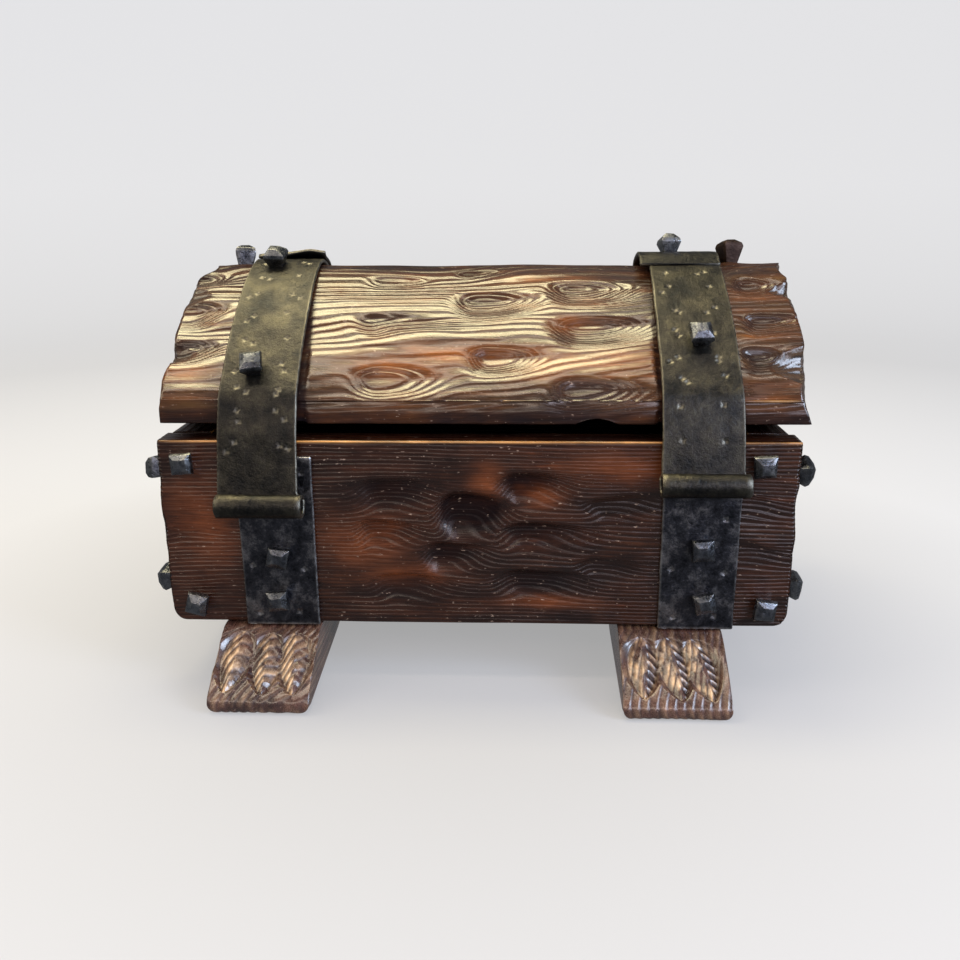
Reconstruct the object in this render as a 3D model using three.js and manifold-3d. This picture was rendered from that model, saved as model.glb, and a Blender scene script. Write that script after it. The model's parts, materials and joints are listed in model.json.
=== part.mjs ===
// A rustic donation box: a plank chest on two carved runners, under a hollowed half-log lid.
// Two forged straps are bent over the lid and hang in front of the box; two hinge straps carry it behind.
// Millimetres, +Z up, the front of the box faces -Y. The origin is the middle of the footprint, on the floor.

import * as THREE from 'three';
import { mergeVertices } from 'three/addons/utils/BufferGeometryUtils.js';
import Module from 'manifold-3d';

const wasm = await Module();
wasm.setup();

// ---------------------------------------------------------------- driving dimensions

const clearance = 0.3;             // between pieces that touch

const boxLength = 320;
const boxDepth = 190;
const boxHeight = 100;
const boardThickness = 18;         // front and back boards
const endThickness = 22;
const bottomThickness = 12;

const leftRunnerX = -108;
const rightRunnerX = 101;
const runnerHeight = 32;
const runnerReach = 42;            // how far a runner stands out in front of the box, and behind it
const runnerToe = 6;               // height of the runner's blunt toe
const runnerSlopeStart = 3;        // where the sloping face starts, in front of the box

const lidLength = 328;
const lidShift = 3.5;              // the lid sits a little to the right
const lidDepth = 180;
const lidRise = 60.7;              // from the top of the upright band to the ridge
const lidBand = 19.5;              // upright band along the lower edge
const lidWall = 17;
const lidEndWall = 20;
const frontGap = 6.4;              // the underside is trimmed to leave this slit along the front
const frontGapStart = -40;         // where the trimming starts

const leftStrapX = -109.5;
const rightStrapX = 112.5;
const rightHingeX = 110;           // the right hinge strap is wider, and sits a little inwards
const rightHingeWidth = 45;
const strapWidth = 40;
const strapThickness = 2.5;
const rollWidth = 45.5;            // the end of a front strap spreads as it is rolled
const rollRadius = 4.9;            // to the middle of the metal

const pinRadius = 2.5;
const eyeRadius = pinRadius + clearance + strapThickness / 2;
const lidEyeWidth = 14.2;          // the lid's eye fits between the two eyes of the leaf
const leafBottom = 50;

const nailHead = 11.5;             // widest part of a nail head
const nailNeck = 7;
const nailStand = 10;              // how far a head stands out
const nailShank = 3.6;

// Heights and depths that follow from them.
const boxTop = runnerHeight + boxHeight;
const boxFront = -boxDepth / 2;
const boxBack = boxDepth / 2;
const lidBottom = boxTop + clearance;
const lidHalf = lidDepth / 2;
const archStart = lidBottom + lidBand;
const hingeY = boxBack + clearance + strapThickness / 2 + eyeRadius;
const hingeZ = boxTop + strapThickness;

// ---------------------------------------------------------------- materials

const pine = new THREE.MeshStandardMaterial({ color: 0x5a2a16, roughness: 0.38, metalness: 0 });
const darkPine = new THREE.MeshStandardMaterial({ color: 0x45200f, roughness: 0.5, metalness: 0 });
const carvedPine = new THREE.MeshStandardMaterial({ color: 0x6b3c28, roughness: 0.42, metalness: 0 });
const blackenedSteel = new THREE.MeshStandardMaterial({ color: 0x2b2c2c, roughness: 0.5, metalness: 0.85 });
const wornSteel = new THREE.MeshStandardMaterial({ color: 0x4a4b4a, roughness: 0.42, metalness: 0.9 });

// ---------------------------------------------------------------- solids, joins and cuts

function solidOf(geometry) {
  const bare = geometry.clone();
  bare.deleteAttribute('normal');
  bare.deleteAttribute('uv');
  const merged = mergeVertices(bare, 1e-4);
  const mesh = new wasm.Mesh({
    numProp: 3,
    vertProperties: new Float32Array(merged.attributes.position.array),
    triVerts: new Uint32Array(merged.index.array),
  });
  return new wasm.Manifold(mesh);
}

function geometryOf(solid) {
  const mesh = solid.getMesh();
  const geometry = new THREE.BufferGeometry();
  geometry.setAttribute('position', new THREE.BufferAttribute(mesh.vertProperties, 3));
  geometry.setIndex(new THREE.BufferAttribute(mesh.triVerts, 1));
  geometry.computeVertexNormals();
  return geometry;
}

function boxBetween(low, high) {
  const size = high.map((value, axis) => value - low[axis]);
  const middle = high.map((value, axis) => (value + low[axis]) / 2);
  return new THREE.BoxGeometry(...size).translate(...middle);
}

// A closed outline in the YZ plane, extruded along X.
function prismAlongX(outline, fromX, toX) {
  const shape = new THREE.Shape(outline.map(([y, z]) => new THREE.Vector2(y, z)));
  const prism = new THREE.ExtrudeGeometry(shape, { depth: toX - fromX, bevelEnabled: false });
  const yzPlane = new THREE.Matrix4().makeBasis(
    new THREE.Vector3(0, 1, 0),
    new THREE.Vector3(0, 0, 1),
    new THREE.Vector3(1, 0, 0),
  );
  return prism.applyMatrix4(yzPlane).translate(fromX, 0, 0);
}

// ---------------------------------------------------------------- the lid's cross-section

// Height of a flattened half log above its springing line, at depth y: round at the ridge, straighter below.
function archHeight(y, half, rise) {
  const across = Math.min(Math.abs(y) / half, 1);
  return rise * (1 - across ** 1.5);
}

// Points of the arch from front to back, closer together near the eaves where it turns fast.
function archPoints(half, rise, springing, steps) {
  const points = [];
  for (let step = 0; step <= steps; step += 1) {
    const y = -half * Math.cos((Math.PI * step) / steps);
    points.push([y, springing + archHeight(y, half, rise)]);
  }
  return points;
}

// The outside of the lid. The straps follow these same points, so that they lie flat on it.
const lidArch = archPoints(lidHalf, lidRise, archStart, 40);

function lidArchBetween(fromY, toY) {
  return lidArch.filter(([y]) => y >= fromY && y <= toY);
}

// Outward direction of the lid's surface at depth y.
function lidNormal(y) {
  const nudge = 0.5;
  const rise = archHeight(y + nudge, lidHalf, lidRise) - archHeight(y - nudge, lidHalf, lidRise);
  return new THREE.Vector3(0, -rise, 2 * nudge).normalize();
}

// ---------------------------------------------------------------- flat bar bent along a path

// Moves an open path sideways, to its left, by a distance that may depend on the depth y.
function offsetPath(path, distance) {
  const last = path.length - 1;
  const directions = path.slice(1).map(([y, z], index) => {
    const [fromY, fromZ] = path[index];
    const length = Math.hypot(y - fromY, z - fromZ);
    return [(y - fromY) / length, (z - fromZ) / length];
  });
  return path.map(([y, z], index) => {
    const [beforeY, beforeZ] = directions[Math.max(index - 1, 0)];
    const [afterY, afterZ] = directions[Math.min(index, last - 1)];
    const away = typeof distance === 'function' ? distance(y) : distance;
    const mitre = away / (1 + beforeY * afterY + beforeZ * afterZ);
    return [y - (beforeZ + afterZ) * mitre, z + (beforeY + afterY) * mitre];
  });
}

// The outline of a bar of even thickness whose middle follows the path.
function barOutline(path, thickness) {
  return offsetPath(path, -thickness / 2).concat(offsetPath(path, thickness / 2).reverse());
}

// An arc that leaves a point along a heading and turns by the sweep, both in radians in the YZ plane.
function curl([startY, startZ], heading, radius, sweep, steps) {
  const side = Math.sign(sweep);
  const centreY = startY - side * radius * Math.sin(heading);
  const centreZ = startZ + side * radius * Math.cos(heading);
  const points = [];
  for (let step = 1; step <= steps; step += 1) {
    const angle = heading - (side * Math.PI) / 2 + (sweep * step) / steps;
    points.push([centreY + radius * Math.cos(angle), centreZ + radius * Math.sin(angle)]);
  }
  return points;
}

// ---------------------------------------------------------------- forged nails

// A faceted head on a square shank. Local +Z points out of the wood, and z = 0 is the surface it sits on.
function nailGeometry(shankLength, stand) {
  const corner = Math.SQRT1_2;     // half a side to half a diagonal, since the lathe has four sides
  const profile = [
    [0, -shankLength],
    [nailShank * 0.4 * corner, -shankLength],
    [nailShank * corner, -shankLength * 0.6],
    [nailShank * corner, clearance],
    [nailNeck * corner, clearance],
    [nailHead * corner, clearance + (stand - clearance) * 0.5],
    [nailHead * 0.9 * corner, clearance + (stand - clearance) * 0.71],
    [nailHead * 0.45 * corner, stand],
    [0, stand],
  ];
  return squareLathe(profile);
}

// The hole that a nail runs in.
function nailHole(shankLength) {
  const radius = (nailShank + 2 * clearance) * Math.SQRT1_2;
  const depth = shankLength + clearance;
  return squareLathe([[0, -depth], [radius, -depth], [radius, clearance / 2], [0, clearance / 2]]);
}

function squareLathe(profile) {
  const points = profile.map(([radius, height]) => new THREE.Vector2(radius, height));
  return new THREE.LatheGeometry(points, 4).rotateX(Math.PI / 2).rotateZ(Math.PI / 4);
}

const outOfFront = new THREE.Vector3(0, -1, 0);
const outOfBack = new THREE.Vector3(0, 1, 0);
const outOfLeft = new THREE.Vector3(-1, 0, 0);
const outOfRight = new THREE.Vector3(1, 0, 0);
const upward = new THREE.Vector3(0, 0, 1);

function nail(name, point, outward, shankLength, turnDegrees, stand = nailStand) {
  const lean = new THREE.Quaternion().setFromUnitVectors(upward, outward.clone().normalize());
  const turn = new THREE.Quaternion().setFromAxisAngle(upward, THREE.MathUtils.degToRad(turnDegrees));
  return { name, point: new THREE.Vector3(...point), facing: lean.multiply(turn), shankLength, stand };
}

// A nail on the outside of the lid, standing on metal of the given thickness (0 for bare wood).
function lidNail(name, x, y, metal, shankLength, turnDegrees) {
  const normal = lidNormal(y);
  const woodZ = archStart + archHeight(y, lidHalf, lidRise);
  return nail(name, [x, y + normal.y * metal, woodZ + normal.z * metal], normal, shankLength, turnDegrees);
}

const oneLayer = clearance + strapThickness;
const twoLayers = 2 * oneLayer;

const cornerShank = 34;
const plateShank = 17;
const lidShank = 13;

function boxNails() {
  const plateFace = boxFront - oneLayer;
  const leafFace = boxBack + oneLayer;
  const endNailDepth = boxDepth / 2 - 6;
  const halfLength = boxLength / 2;
  const runnerNailDepth = 48;
  return [
    nail('front_nail_left_upper', [-147.5, boxFront, 120.7], outOfFront, cornerShank, 4),
    nail('front_nail_left_lower', [-146.5, boxFront, 44.5], outOfFront, cornerShank, -14),
    nail('front_nail_right_upper', [143, boxFront, 120.7], outOfFront, cornerShank, 3),
    nail('front_nail_right_lower', [148.5, boxFront, 44.5], outOfFront, cornerShank, -7),
    nail('back_nail_left_upper', [-147, boxBack, 120.7], outOfBack, cornerShank, -6),
    nail('back_nail_left_lower', [-148, boxBack, 44.5], outOfBack, cornerShank, 11),
    nail('back_nail_right_upper', [146, boxBack, 120.7], outOfBack, cornerShank, 8),
    nail('back_nail_right_lower', [147.5, boxBack, 44.5], outOfBack, cornerShank, -4),
    nail('left_nail_front_upper', [-halfLength, -endNailDepth, 116], outOfLeft, cornerShank, 12),
    nail('left_nail_front_lower', [-halfLength, -endNailDepth, 55.5], outOfLeft, cornerShank, -9),
    nail('left_nail_back_upper', [-halfLength, endNailDepth, 115.5], outOfLeft, cornerShank, 5),
    nail('left_nail_back_lower', [-halfLength, endNailDepth, 54.5], outOfLeft, cornerShank, -16),
    nail('right_nail_front_upper', [halfLength, -endNailDepth, 115.5], outOfRight, cornerShank, 20),
    nail('right_nail_front_lower', [halfLength, -endNailDepth, 54], outOfRight, cornerShank, 10),
    nail('right_nail_back_upper', [halfLength, endNailDepth, 116], outOfRight, cornerShank, -8),
    nail('right_nail_back_lower', [halfLength, endNailDepth, 55.5], outOfRight, cornerShank, 14),
    nail('left_plate_nail_upper', [-101, plateFace, 72], outOfFront, plateShank, -10),
    nail('left_plate_nail_lower', [-102.5, plateFace, 48], outOfFront, plateShank, 6),
    nail('right_plate_nail_upper', [114.5, plateFace, 78], outOfFront, plateShank, 3),
    nail('right_plate_nail_lower', [117, plateFace, 49], outOfFront, plateShank, 12),
    nail('left_leaf_nail_upper', [leftStrapX, leafFace, 104], outOfBack, plateShank, 7),
    nail('left_leaf_nail_lower', [leftStrapX, leafFace, 66], outOfBack, plateShank, -5),
    nail('right_leaf_nail_upper', [rightHingeX, leafFace, 104], outOfBack, plateShank, -12),
    nail('right_leaf_nail_lower', [rightHingeX, leafFace, 66], outOfBack, plateShank, 9),
    runnerNail('left_runner_nail_front', leftRunnerX, -runnerNailDepth),
    runnerNail('left_runner_nail_back', leftRunnerX, runnerNailDepth),
    runnerNail('right_runner_nail_front', rightRunnerX, -runnerNailDepth),
    runnerNail('right_runner_nail_back', rightRunnerX, runnerNailDepth),
  ];
}

// A nail driven down through the bottom board into a runner, its head beaten flat.
function runnerNail(name, x, y) {
  const flatStand = 2;
  return nail(name, [x, y, runnerHeight + bottomThickness], upward, cornerShank, 0, flatStand);
}

function lidNails() {
  return [
    lidNail('left_strap_nail', leftStrapX - 3.5, -78, oneLayer, lidShank, 8),
    lidNail('right_strap_nail', rightStrapX + 1, -64, oneLayer, lidShank, 4),
    lidNail('left_ridge_nail', leftStrapX - 5, -10, oneLayer, lidShank, -5),
    lidNail('right_ridge_nail', rightStrapX - 6, 4, twoLayers, lidShank + 3, 6),
    lidNail('left_outer_ridge_nail', leftStrapX - strapWidth / 2 - 8.5, 8, 2, lidShank, 15),
    lidNail('right_outer_ridge_nail', rightHingeX + rightHingeWidth / 2 + 8.5, 8, 4, lidShank, 20),
    lidNail('left_hinge_nail_upper', leftStrapX, 38, oneLayer, lidShank, -8),
    lidNail('left_hinge_nail_lower', leftStrapX, 70, oneLayer, lidShank, 5),
    lidNail('right_hinge_nail_upper', rightHingeX, 38, oneLayer, lidShank, 11),
    lidNail('right_hinge_nail_lower', rightHingeX, 70, oneLayer, lidShank, -3),
  ];
}

function nailMesh({ name, point, facing, shankLength, stand }) {
  const mesh = new THREE.Mesh(nailGeometry(shankLength, stand), wornSteel);
  mesh.name = name;
  mesh.position.copy(point);
  mesh.quaternion.copy(facing);
  return mesh;
}

// Every nail's hole, joined into one cutting solid.
function holesFor(nails) {
  const unitScale = new THREE.Vector3(1, 1, 1);
  return nails
    .map(({ point, facing, shankLength }) => {
      const place = new THREE.Matrix4().compose(point, facing, unitScale);
      return solidOf(nailHole(shankLength).applyMatrix4(place));
    })
    .reduce((joined, hole) => joined.add(hole));
}

// ---------------------------------------------------------------- boards and runners

function piece(name, geometry, material) {
  const mesh = new THREE.Mesh(geometry, material);
  mesh.name = name;
  return mesh;
}

function boards() {
  const half = boxLength / 2;
  const innerDepth = boxDepth / 2 - boardThickness - clearance;
  const innerLength = half - endThickness;
  const bottomLength = innerLength - clearance;
  const bottomTop = runnerHeight + bottomThickness;
  return [
    ['front_board', [-half, boxFront, runnerHeight], [half, boxFront + boardThickness, boxTop]],
    ['back_board', [-half, boxBack - boardThickness, runnerHeight], [half, boxBack, boxTop]],
    ['left_end_board', [-half, -innerDepth, runnerHeight], [-innerLength, innerDepth, boxTop]],
    ['right_end_board', [innerLength, -innerDepth, runnerHeight], [half, innerDepth, boxTop]],
    ['bottom_board', [-bottomLength, -innerDepth, runnerHeight], [bottomLength, innerDepth, bottomTop]],
  ];
}

// A sled runner, the same at both ends: a blunt rounded toe, then a slope up to the box.
function runnerOutline() {
  const reach = boxDepth / 2 + runnerReach;
  const top = runnerHeight - clearance;
  const slopeTop = boxDepth / 2 + runnerSlopeStart;
  const half = [
    [slopeTop, top],
    [reach - 1.5, runnerToe + 2],
    [reach, runnerToe],
    [reach - 0.6, runnerToe / 2],
    [reach - 3, 0],
  ];
  const mirrored = half.map(([y, z]) => [-y, z]).reverse();
  return half.concat(mirrored).reverse();
}

function runnerGeometry(middleX, width) {
  return prismAlongX(runnerOutline(), middleX - width / 2, middleX + width / 2);
}

// ---------------------------------------------------------------- the lid

function lidGeometry() {
  const left = lidShift - lidLength / 2;
  const right = lidShift + lidLength / 2;
  const underside = [[lidHalf, lidBottom], [frontGapStart, lidBottom], [-lidHalf, lidBottom + frontGap]];
  const log = solidOf(prismAlongX(lidArch.concat(underside).reverse(), left, right));

  const innerHalf = lidHalf - lidWall;
  const innerRise = lidRise - lidWall * 0.8;
  const hollow = archPoints(innerHalf, innerRise, archStart - 2, 24);
  const mouth = [[innerHalf, lidBottom - 1], [-innerHalf, lidBottom - 1]];
  const cavity = solidOf(
    prismAlongX(hollow.concat(mouth).reverse(), left + lidEndWall, right - lidEndWall),
  );
  return log.subtract(cavity).subtract(fingerNotch());
}

// A shallow scallop in the lower front edge, where a fingertip lifts the lid.
function fingerNotch() {
  const notchRadius = 20;
  const notchHeight = 3.5;
  const middleX = 61;
  const reach = 12;
  const cutter = new THREE.CylinderGeometry(notchRadius, notchRadius, reach * 2, 40);
  const middleZ = lidBottom + frontGap + notchHeight - notchRadius;
  return solidOf(cutter.translate(middleX, -lidHalf, middleZ));
}

// ---------------------------------------------------------------- straps, plates and hinges

// Over the front slope, down the eaves, away from the box, and rolled forward at the end.
function frontStrapGeometry(middleX, rollZ) {
  const away = clearance + strapThickness / 2;
  const ridgeEnd = 15;
  const band = [-lidHalf, archStart - 2];
  const onLid = offsetPath([band, ...lidArchBetween(-lidHalf, ridgeEnd)], away).reverse();
  const hang = [-lidHalf - away - 6, archStart - 16];
  const slope = 0.25;
  const rollStart = [hang[0] - (hang[1] - rollZ) * slope, rollZ];
  const heading = Math.atan2(rollStart[1] - hang[1], rollStart[0] - hang[0]);
  const rollSweep = -THREE.MathUtils.degToRad(305);
  const roll = curl(rollStart, heading, rollRadius, rollSweep, 18);
  const strap = prismAlongX(
    barOutline([...onLid, hang, rollStart, ...roll], strapThickness),
    middleX - strapWidth / 2,
    middleX + strapWidth / 2,
  );
  const nearRoll = [rollStart[0] + 3 * slope, rollZ + 3];
  const wideRoll = prismAlongX(
    barOutline([nearRoll, rollStart, ...roll], strapThickness),
    middleX - rollWidth / 2,
    middleX + rollWidth / 2,
  );
  return solidOf(strap).add(solidOf(wideRoll));
}

// Laps the front strap at the ridge, follows the back slope and ends in the eye between the leaf's eyes.
function hingeStrapGeometry(middleX, width, frontEdge, turnedUp) {
  const lapEnd = 15;
  const lapRun = 9;
  const low = clearance + strapThickness / 2;
  const high = low + oneLayer;
  const distance = (y) => {
    const along = THREE.MathUtils.smoothstep(y, lapEnd, lapEnd + lapRun);
    return high + (low - high) * along;
  };
  const onLid = offsetPath([...lidArchBetween(frontEdge, lidHalf), [lidHalf, archStart - 2]], distance);
  const [firstY, firstZ] = onLid[0];
  const lip = turnedUp > 0 ? [[firstY - 3.2, firstZ + turnedUp], [firstY - 1.6, firstZ + 2.6]] : [];
  const eyeSide = hingeY - eyeRadius;
  const band = onLid[onLid.length - 1];
  const toEye = [eyeSide, hingeZ + 4];
  const eyeStart = [eyeSide, hingeZ];
  const eye = curl(eyeStart, -Math.PI / 2, eyeRadius, THREE.MathUtils.degToRad(300), 18);
  const wide = prismAlongX(
    barOutline([...lip, ...onLid, halfway(band, toEye)], strapThickness),
    middleX - width / 2,
    middleX + width / 2,
  );
  const finger = prismAlongX(
    barOutline([band, halfway(band, toEye), toEye, eyeStart, ...eye], strapThickness),
    middleX - lidEyeWidth / 2,
    middleX + lidEyeWidth / 2,
  );
  return solidOf(wide).add(solidOf(finger));
}

function halfway([firstY, firstZ], [secondY, secondZ]) {
  return [(firstY + secondY) / 2, (firstZ + secondZ) / 2];
}

// A plate on the back board with an eye at each side of the lid's eye.
function leafGeometry(middleX) {
  const leafY = boxBack + clearance + strapThickness / 2;
  const plateTop = hingeZ - eyeRadius - strapThickness / 2 - 1.5;
  const half = strapWidth / 2;
  const plate = boxBetween(
    [middleX - half, leafY - strapThickness / 2, leafBottom],
    [middleX + half, leafY + strapThickness / 2, plateTop],
  );
  const eye = curl([leafY, hingeZ], Math.PI / 2, eyeRadius, -THREE.MathUtils.degToRad(300), 18);
  const outline = barOutline([[leafY, plateTop - 4], [leafY, hingeZ], ...eye], strapThickness);
  const inner = lidEyeWidth / 2 + 0.5;
  return solidOf(plate)
    .add(solidOf(prismAlongX(outline, middleX - half, middleX - inner)))
    .add(solidOf(prismAlongX(outline, middleX + inner, middleX + half)));
}

// A pin along X, hammered over at both ends.
function pinGeometry(middleX) {
  const shoulder = strapWidth / 2 + 0.4;
  const tip = shoulder + 2.4;
  const headRadius = pinRadius + 1.7;
  const profile = [
    [0, -tip],
    [headRadius * 0.6, -tip],
    [headRadius, -tip + 0.9],
    [headRadius, -shoulder],
    [pinRadius, -shoulder],
    [pinRadius, shoulder],
    [headRadius, shoulder],
    [headRadius, tip - 0.9],
    [headRadius * 0.6, tip],
    [0, tip],
  ];
  const points = profile.map(([radius, along]) => new THREE.Vector2(radius, along));
  return new THREE.LatheGeometry(points, 20).rotateZ(-Math.PI / 2).translate(middleX, hingeY, hingeZ);
}

function frontPlateGeometry(middleX) {
  const plateTop = boxTop - 8.5;
  const near = boxFront - clearance;
  return boxBetween(
    [middleX - strapWidth / 2, near - strapThickness, runnerHeight + 0.5],
    [middleX + strapWidth / 2, near, plateTop],
  );
}

// ---------------------------------------------------------------- assembly

function boxGroup() {
  const group = new THREE.Group();
  const nails = boxNails();
  const holes = holesFor(nails);
  const bored = (solid) => geometryOf(solid.subtract(holes));

  for (const [name, low, high] of boards()) {
    group.add(piece(name, bored(solidOf(boxBetween(low, high))), name === 'bottom_board' ? darkPine : pine));
  }
  group.add(piece('left_runner', bored(solidOf(runnerGeometry(leftRunnerX, 52))), carvedPine));
  group.add(piece('right_runner', bored(solidOf(runnerGeometry(rightRunnerX, 54))), carvedPine));
  group.add(piece('left_front_plate', bored(solidOf(frontPlateGeometry(-102))), blackenedSteel));
  group.add(piece('right_front_plate', bored(solidOf(frontPlateGeometry(114))), blackenedSteel));
  for (const [side, middleX] of [['left', leftStrapX], ['right', rightHingeX]]) {
    group.add(piece(`${side}_hinge_leaf`, bored(leafGeometry(middleX)), blackenedSteel));
    group.add(piece(`${side}_hinge_pin`, pinGeometry(middleX), wornSteel));
  }
  group.add(...nails.map(nailMesh));
  return group;
}

function lidGroup() {
  const group = new THREE.Group();
  const nails = lidNails();
  const holes = holesFor(nails);
  const bored = (solid) => geometryOf(solid.subtract(holes));

  group.add(piece('lid', bored(lidGeometry()), pine));
  group.add(piece('left_front_strap', bored(frontStrapGeometry(leftStrapX, 101)), blackenedSteel));
  group.add(piece('right_front_strap', bored(frontStrapGeometry(rightStrapX, 112)), blackenedSteel));
  group.add(piece('left_hinge_strap', bored(hingeStrapGeometry(leftStrapX, strapWidth, 4, 8)), blackenedSteel));
  group.add(piece('right_hinge_strap', bored(hingeStrapGeometry(rightHingeX, rightHingeWidth, -8, 0)), blackenedSteel));
  group.add(...nails.map(nailMesh));
  return group;
}

const group = new THREE.Group();
group.add(boxGroup(), lidGroup());

export default group;
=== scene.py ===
"""A rustic donation box: carved half-log lid, plank chest on two carved runners, forged straps and nails.

The CAD frame places everything. Lengths are in millimetres here, and MM turns them into Blender's metres.
"""

import json
import math

import bmesh
import bpy
import numpy as np
from mathutils import Matrix, Vector

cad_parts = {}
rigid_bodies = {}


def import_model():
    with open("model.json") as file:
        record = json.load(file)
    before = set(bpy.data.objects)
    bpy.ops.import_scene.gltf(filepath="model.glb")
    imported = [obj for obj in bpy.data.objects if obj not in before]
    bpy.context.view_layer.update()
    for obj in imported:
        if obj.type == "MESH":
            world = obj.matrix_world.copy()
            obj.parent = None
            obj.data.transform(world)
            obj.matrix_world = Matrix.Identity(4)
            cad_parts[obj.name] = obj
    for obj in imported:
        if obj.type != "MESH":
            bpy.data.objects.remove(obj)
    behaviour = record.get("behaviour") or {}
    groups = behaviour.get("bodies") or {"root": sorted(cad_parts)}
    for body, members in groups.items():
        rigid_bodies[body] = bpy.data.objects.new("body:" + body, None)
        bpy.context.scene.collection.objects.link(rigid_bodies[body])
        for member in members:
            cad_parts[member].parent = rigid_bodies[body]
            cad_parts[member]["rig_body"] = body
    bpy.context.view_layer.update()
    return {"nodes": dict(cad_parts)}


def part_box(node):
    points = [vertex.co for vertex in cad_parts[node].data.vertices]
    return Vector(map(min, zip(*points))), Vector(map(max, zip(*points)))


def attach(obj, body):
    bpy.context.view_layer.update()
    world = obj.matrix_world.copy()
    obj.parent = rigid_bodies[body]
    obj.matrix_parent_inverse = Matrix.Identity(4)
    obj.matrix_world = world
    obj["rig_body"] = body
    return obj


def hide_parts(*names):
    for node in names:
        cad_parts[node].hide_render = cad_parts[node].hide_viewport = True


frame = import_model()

MM = 0.001
nodes = frame["nodes"]


def node_box(name):
    """Lowest and highest corner of a CAD node, in mm."""
    low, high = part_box(name)
    return np.array(low) / MM, np.array(high) / MM


# ------------------------------------------------------------------ smooth noise


def hashed(cell, seed):
    """A repeatable number between -1 and 1 for each lattice cell."""
    bits = cell[..., 0] * 374761393 + cell[..., 1] * 668265263 + cell[..., 2] * 2147483647
    bits = bits + seed * 974634777
    bits = (bits ^ (bits >> 13)) * 1274126177
    bits = bits ^ (bits >> 16)
    return (bits & 0xFFFF) / 32767.5 - 1.0


def noise(points, size, seed):
    """Smooth noise between -1 and 1. The size is the distance between its bumps along each axis, in mm."""
    place = points / np.broadcast_to(np.asarray(size, float), (3,)) + 500.5
    cell = np.floor(place).astype(np.int64)
    part = place - cell
    part = part * part * (3.0 - 2.0 * part)
    total = np.zeros(points.shape[:-1])
    for corner in range(8):
        step = np.array([(corner >> axis) & 1 for axis in range(3)])
        weight = np.prod(np.where(step == 1, part, 1.0 - part), axis=-1)
        total += weight * hashed(cell + step, seed)
    return total


def layered_noise(points, size, seed, layers=3):
    """Noise with finer and weaker layers on top of it."""
    total = np.zeros(points.shape[:-1])
    for layer in range(layers):
        total += noise(points, np.asarray(size, float) / 2.0**layer, seed + layer) * 0.5**layer
    return total


def smoothstep(low, high, value):
    """0 at low, 1 at high, with a soft start and end."""
    part = np.clip((value - low) / (high - low), 0.0, 1.0)
    return part * part * (3.0 - 2.0 * part)


def soft_positive(value, sharpness):
    """Close to max(value, 0), with a soft corner."""
    return np.logaddexp(0.0, value * sharpness) / sharpness


def surface_place(along, across, apart=0.0):
    """Places for noise over a surface. The last value sets it apart from other surfaces."""
    return np.stack(np.broadcast_arrays(along, across, apart), -1)


def distances(path):
    """The distance along an open path up to each of its points."""
    return np.concatenate([[0.0], np.cumsum(np.linalg.norm(np.diff(path, axis=0), axis=1))])


# ------------------------------------------------------------------ meshes from grids of points


def linked(name, data):
    """A new object in the scene."""
    made = bpy.data.objects.new(name, data)
    bpy.context.scene.collection.objects.link(made)
    return made


def shade_smooth(mesh):
    """Smooth shading on every face."""
    mesh.polygons.foreach_set("use_smooth", np.ones(len(mesh.polygons), bool))


def mesh_object(name, points, faces, attributes):
    """A smooth-shaded object from points in mm, a list of face index arrays, and per-point attributes."""
    mesh = bpy.data.meshes.new(name)
    counts = np.concatenate([np.full(len(block), block.shape[1]) for block in faces])
    corners = np.concatenate([block.ravel() for block in faces])
    mesh.vertices.add(len(points))
    mesh.vertices.foreach_set("co", (points * MM).astype(np.float32).ravel())
    mesh.loops.add(len(corners))
    mesh.loops.foreach_set("vertex_index", corners.astype(np.int32))
    mesh.polygons.add(len(counts))
    starts = np.concatenate([[0], np.cumsum(counts)[:-1]])
    mesh.polygons.foreach_set("loop_start", starts.astype(np.int32))
    mesh.update(calc_edges=True)
    shade_smooth(mesh)
    for key, values in attributes.items():
        kind, field = ("FLOAT_VECTOR", "vector") if values.ndim == 2 else ("FLOAT", "value")
        layer = mesh.attributes.new(key, kind, "POINT")
        layer.data.foreach_set(field, values.astype(np.float32).ravel())
    mesh.validate()
    return linked(name, mesh)


def loop_quads(stations, around):
    """The index of each point in a grid of closed loops, and the faces between each loop and the next."""
    index = np.arange(stations * around).reshape(stations, around)
    here, after = index[:-1], index[1:]
    return index, np.stack([here, np.roll(here, -1, 1), np.roll(after, -1, 1), after], -1).reshape(-1, 4)


def skin(name, rings, attributes):
    """A closed object over a grid of points: loops in a row, gathered to a point at each end."""
    stations, around = rings.shape[:2]
    index, quads = loop_quads(stations, around)
    first_pole, last_pole = stations * around, stations * around + 1
    first = np.stack([np.full(around, first_pole), np.roll(index[0], -1), index[0]], -1)
    last = np.stack([np.full(around, last_pole), index[-1], np.roll(index[-1], -1)], -1)
    poles = np.stack([rings[0].mean(0), rings[-1].mean(0)])
    points = np.concatenate([rings.reshape(-1, 3), poles])
    middle = points.mean(0)
    a, b, c = (points[quads[:, k]] - middle for k in range(3))
    if np.einsum("ij,ij->i", a, np.cross(b, c)).sum() < 0:
        quads, first, last = quads[:, ::-1], first[:, ::-1], last[:, ::-1]
    spread = {}
    for key, values in attributes.items():
        flat = values.reshape((stations * around,) + values.shape[2:])
        ends = np.stack([values[0].mean(0), values[-1].mean(0)])
        spread[key] = np.concatenate([flat, ends])
    return mesh_object(name, points, [quads, first, last], spread)


def between(start, end, spacing):
    """Points from start up to but not including end."""
    start, end = np.asarray(start, float), np.asarray(end, float)
    count = max(1, math.ceil(np.linalg.norm(end - start) / spacing))
    return start + (end - start) * (np.arange(count) / count)[:, None]


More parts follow.
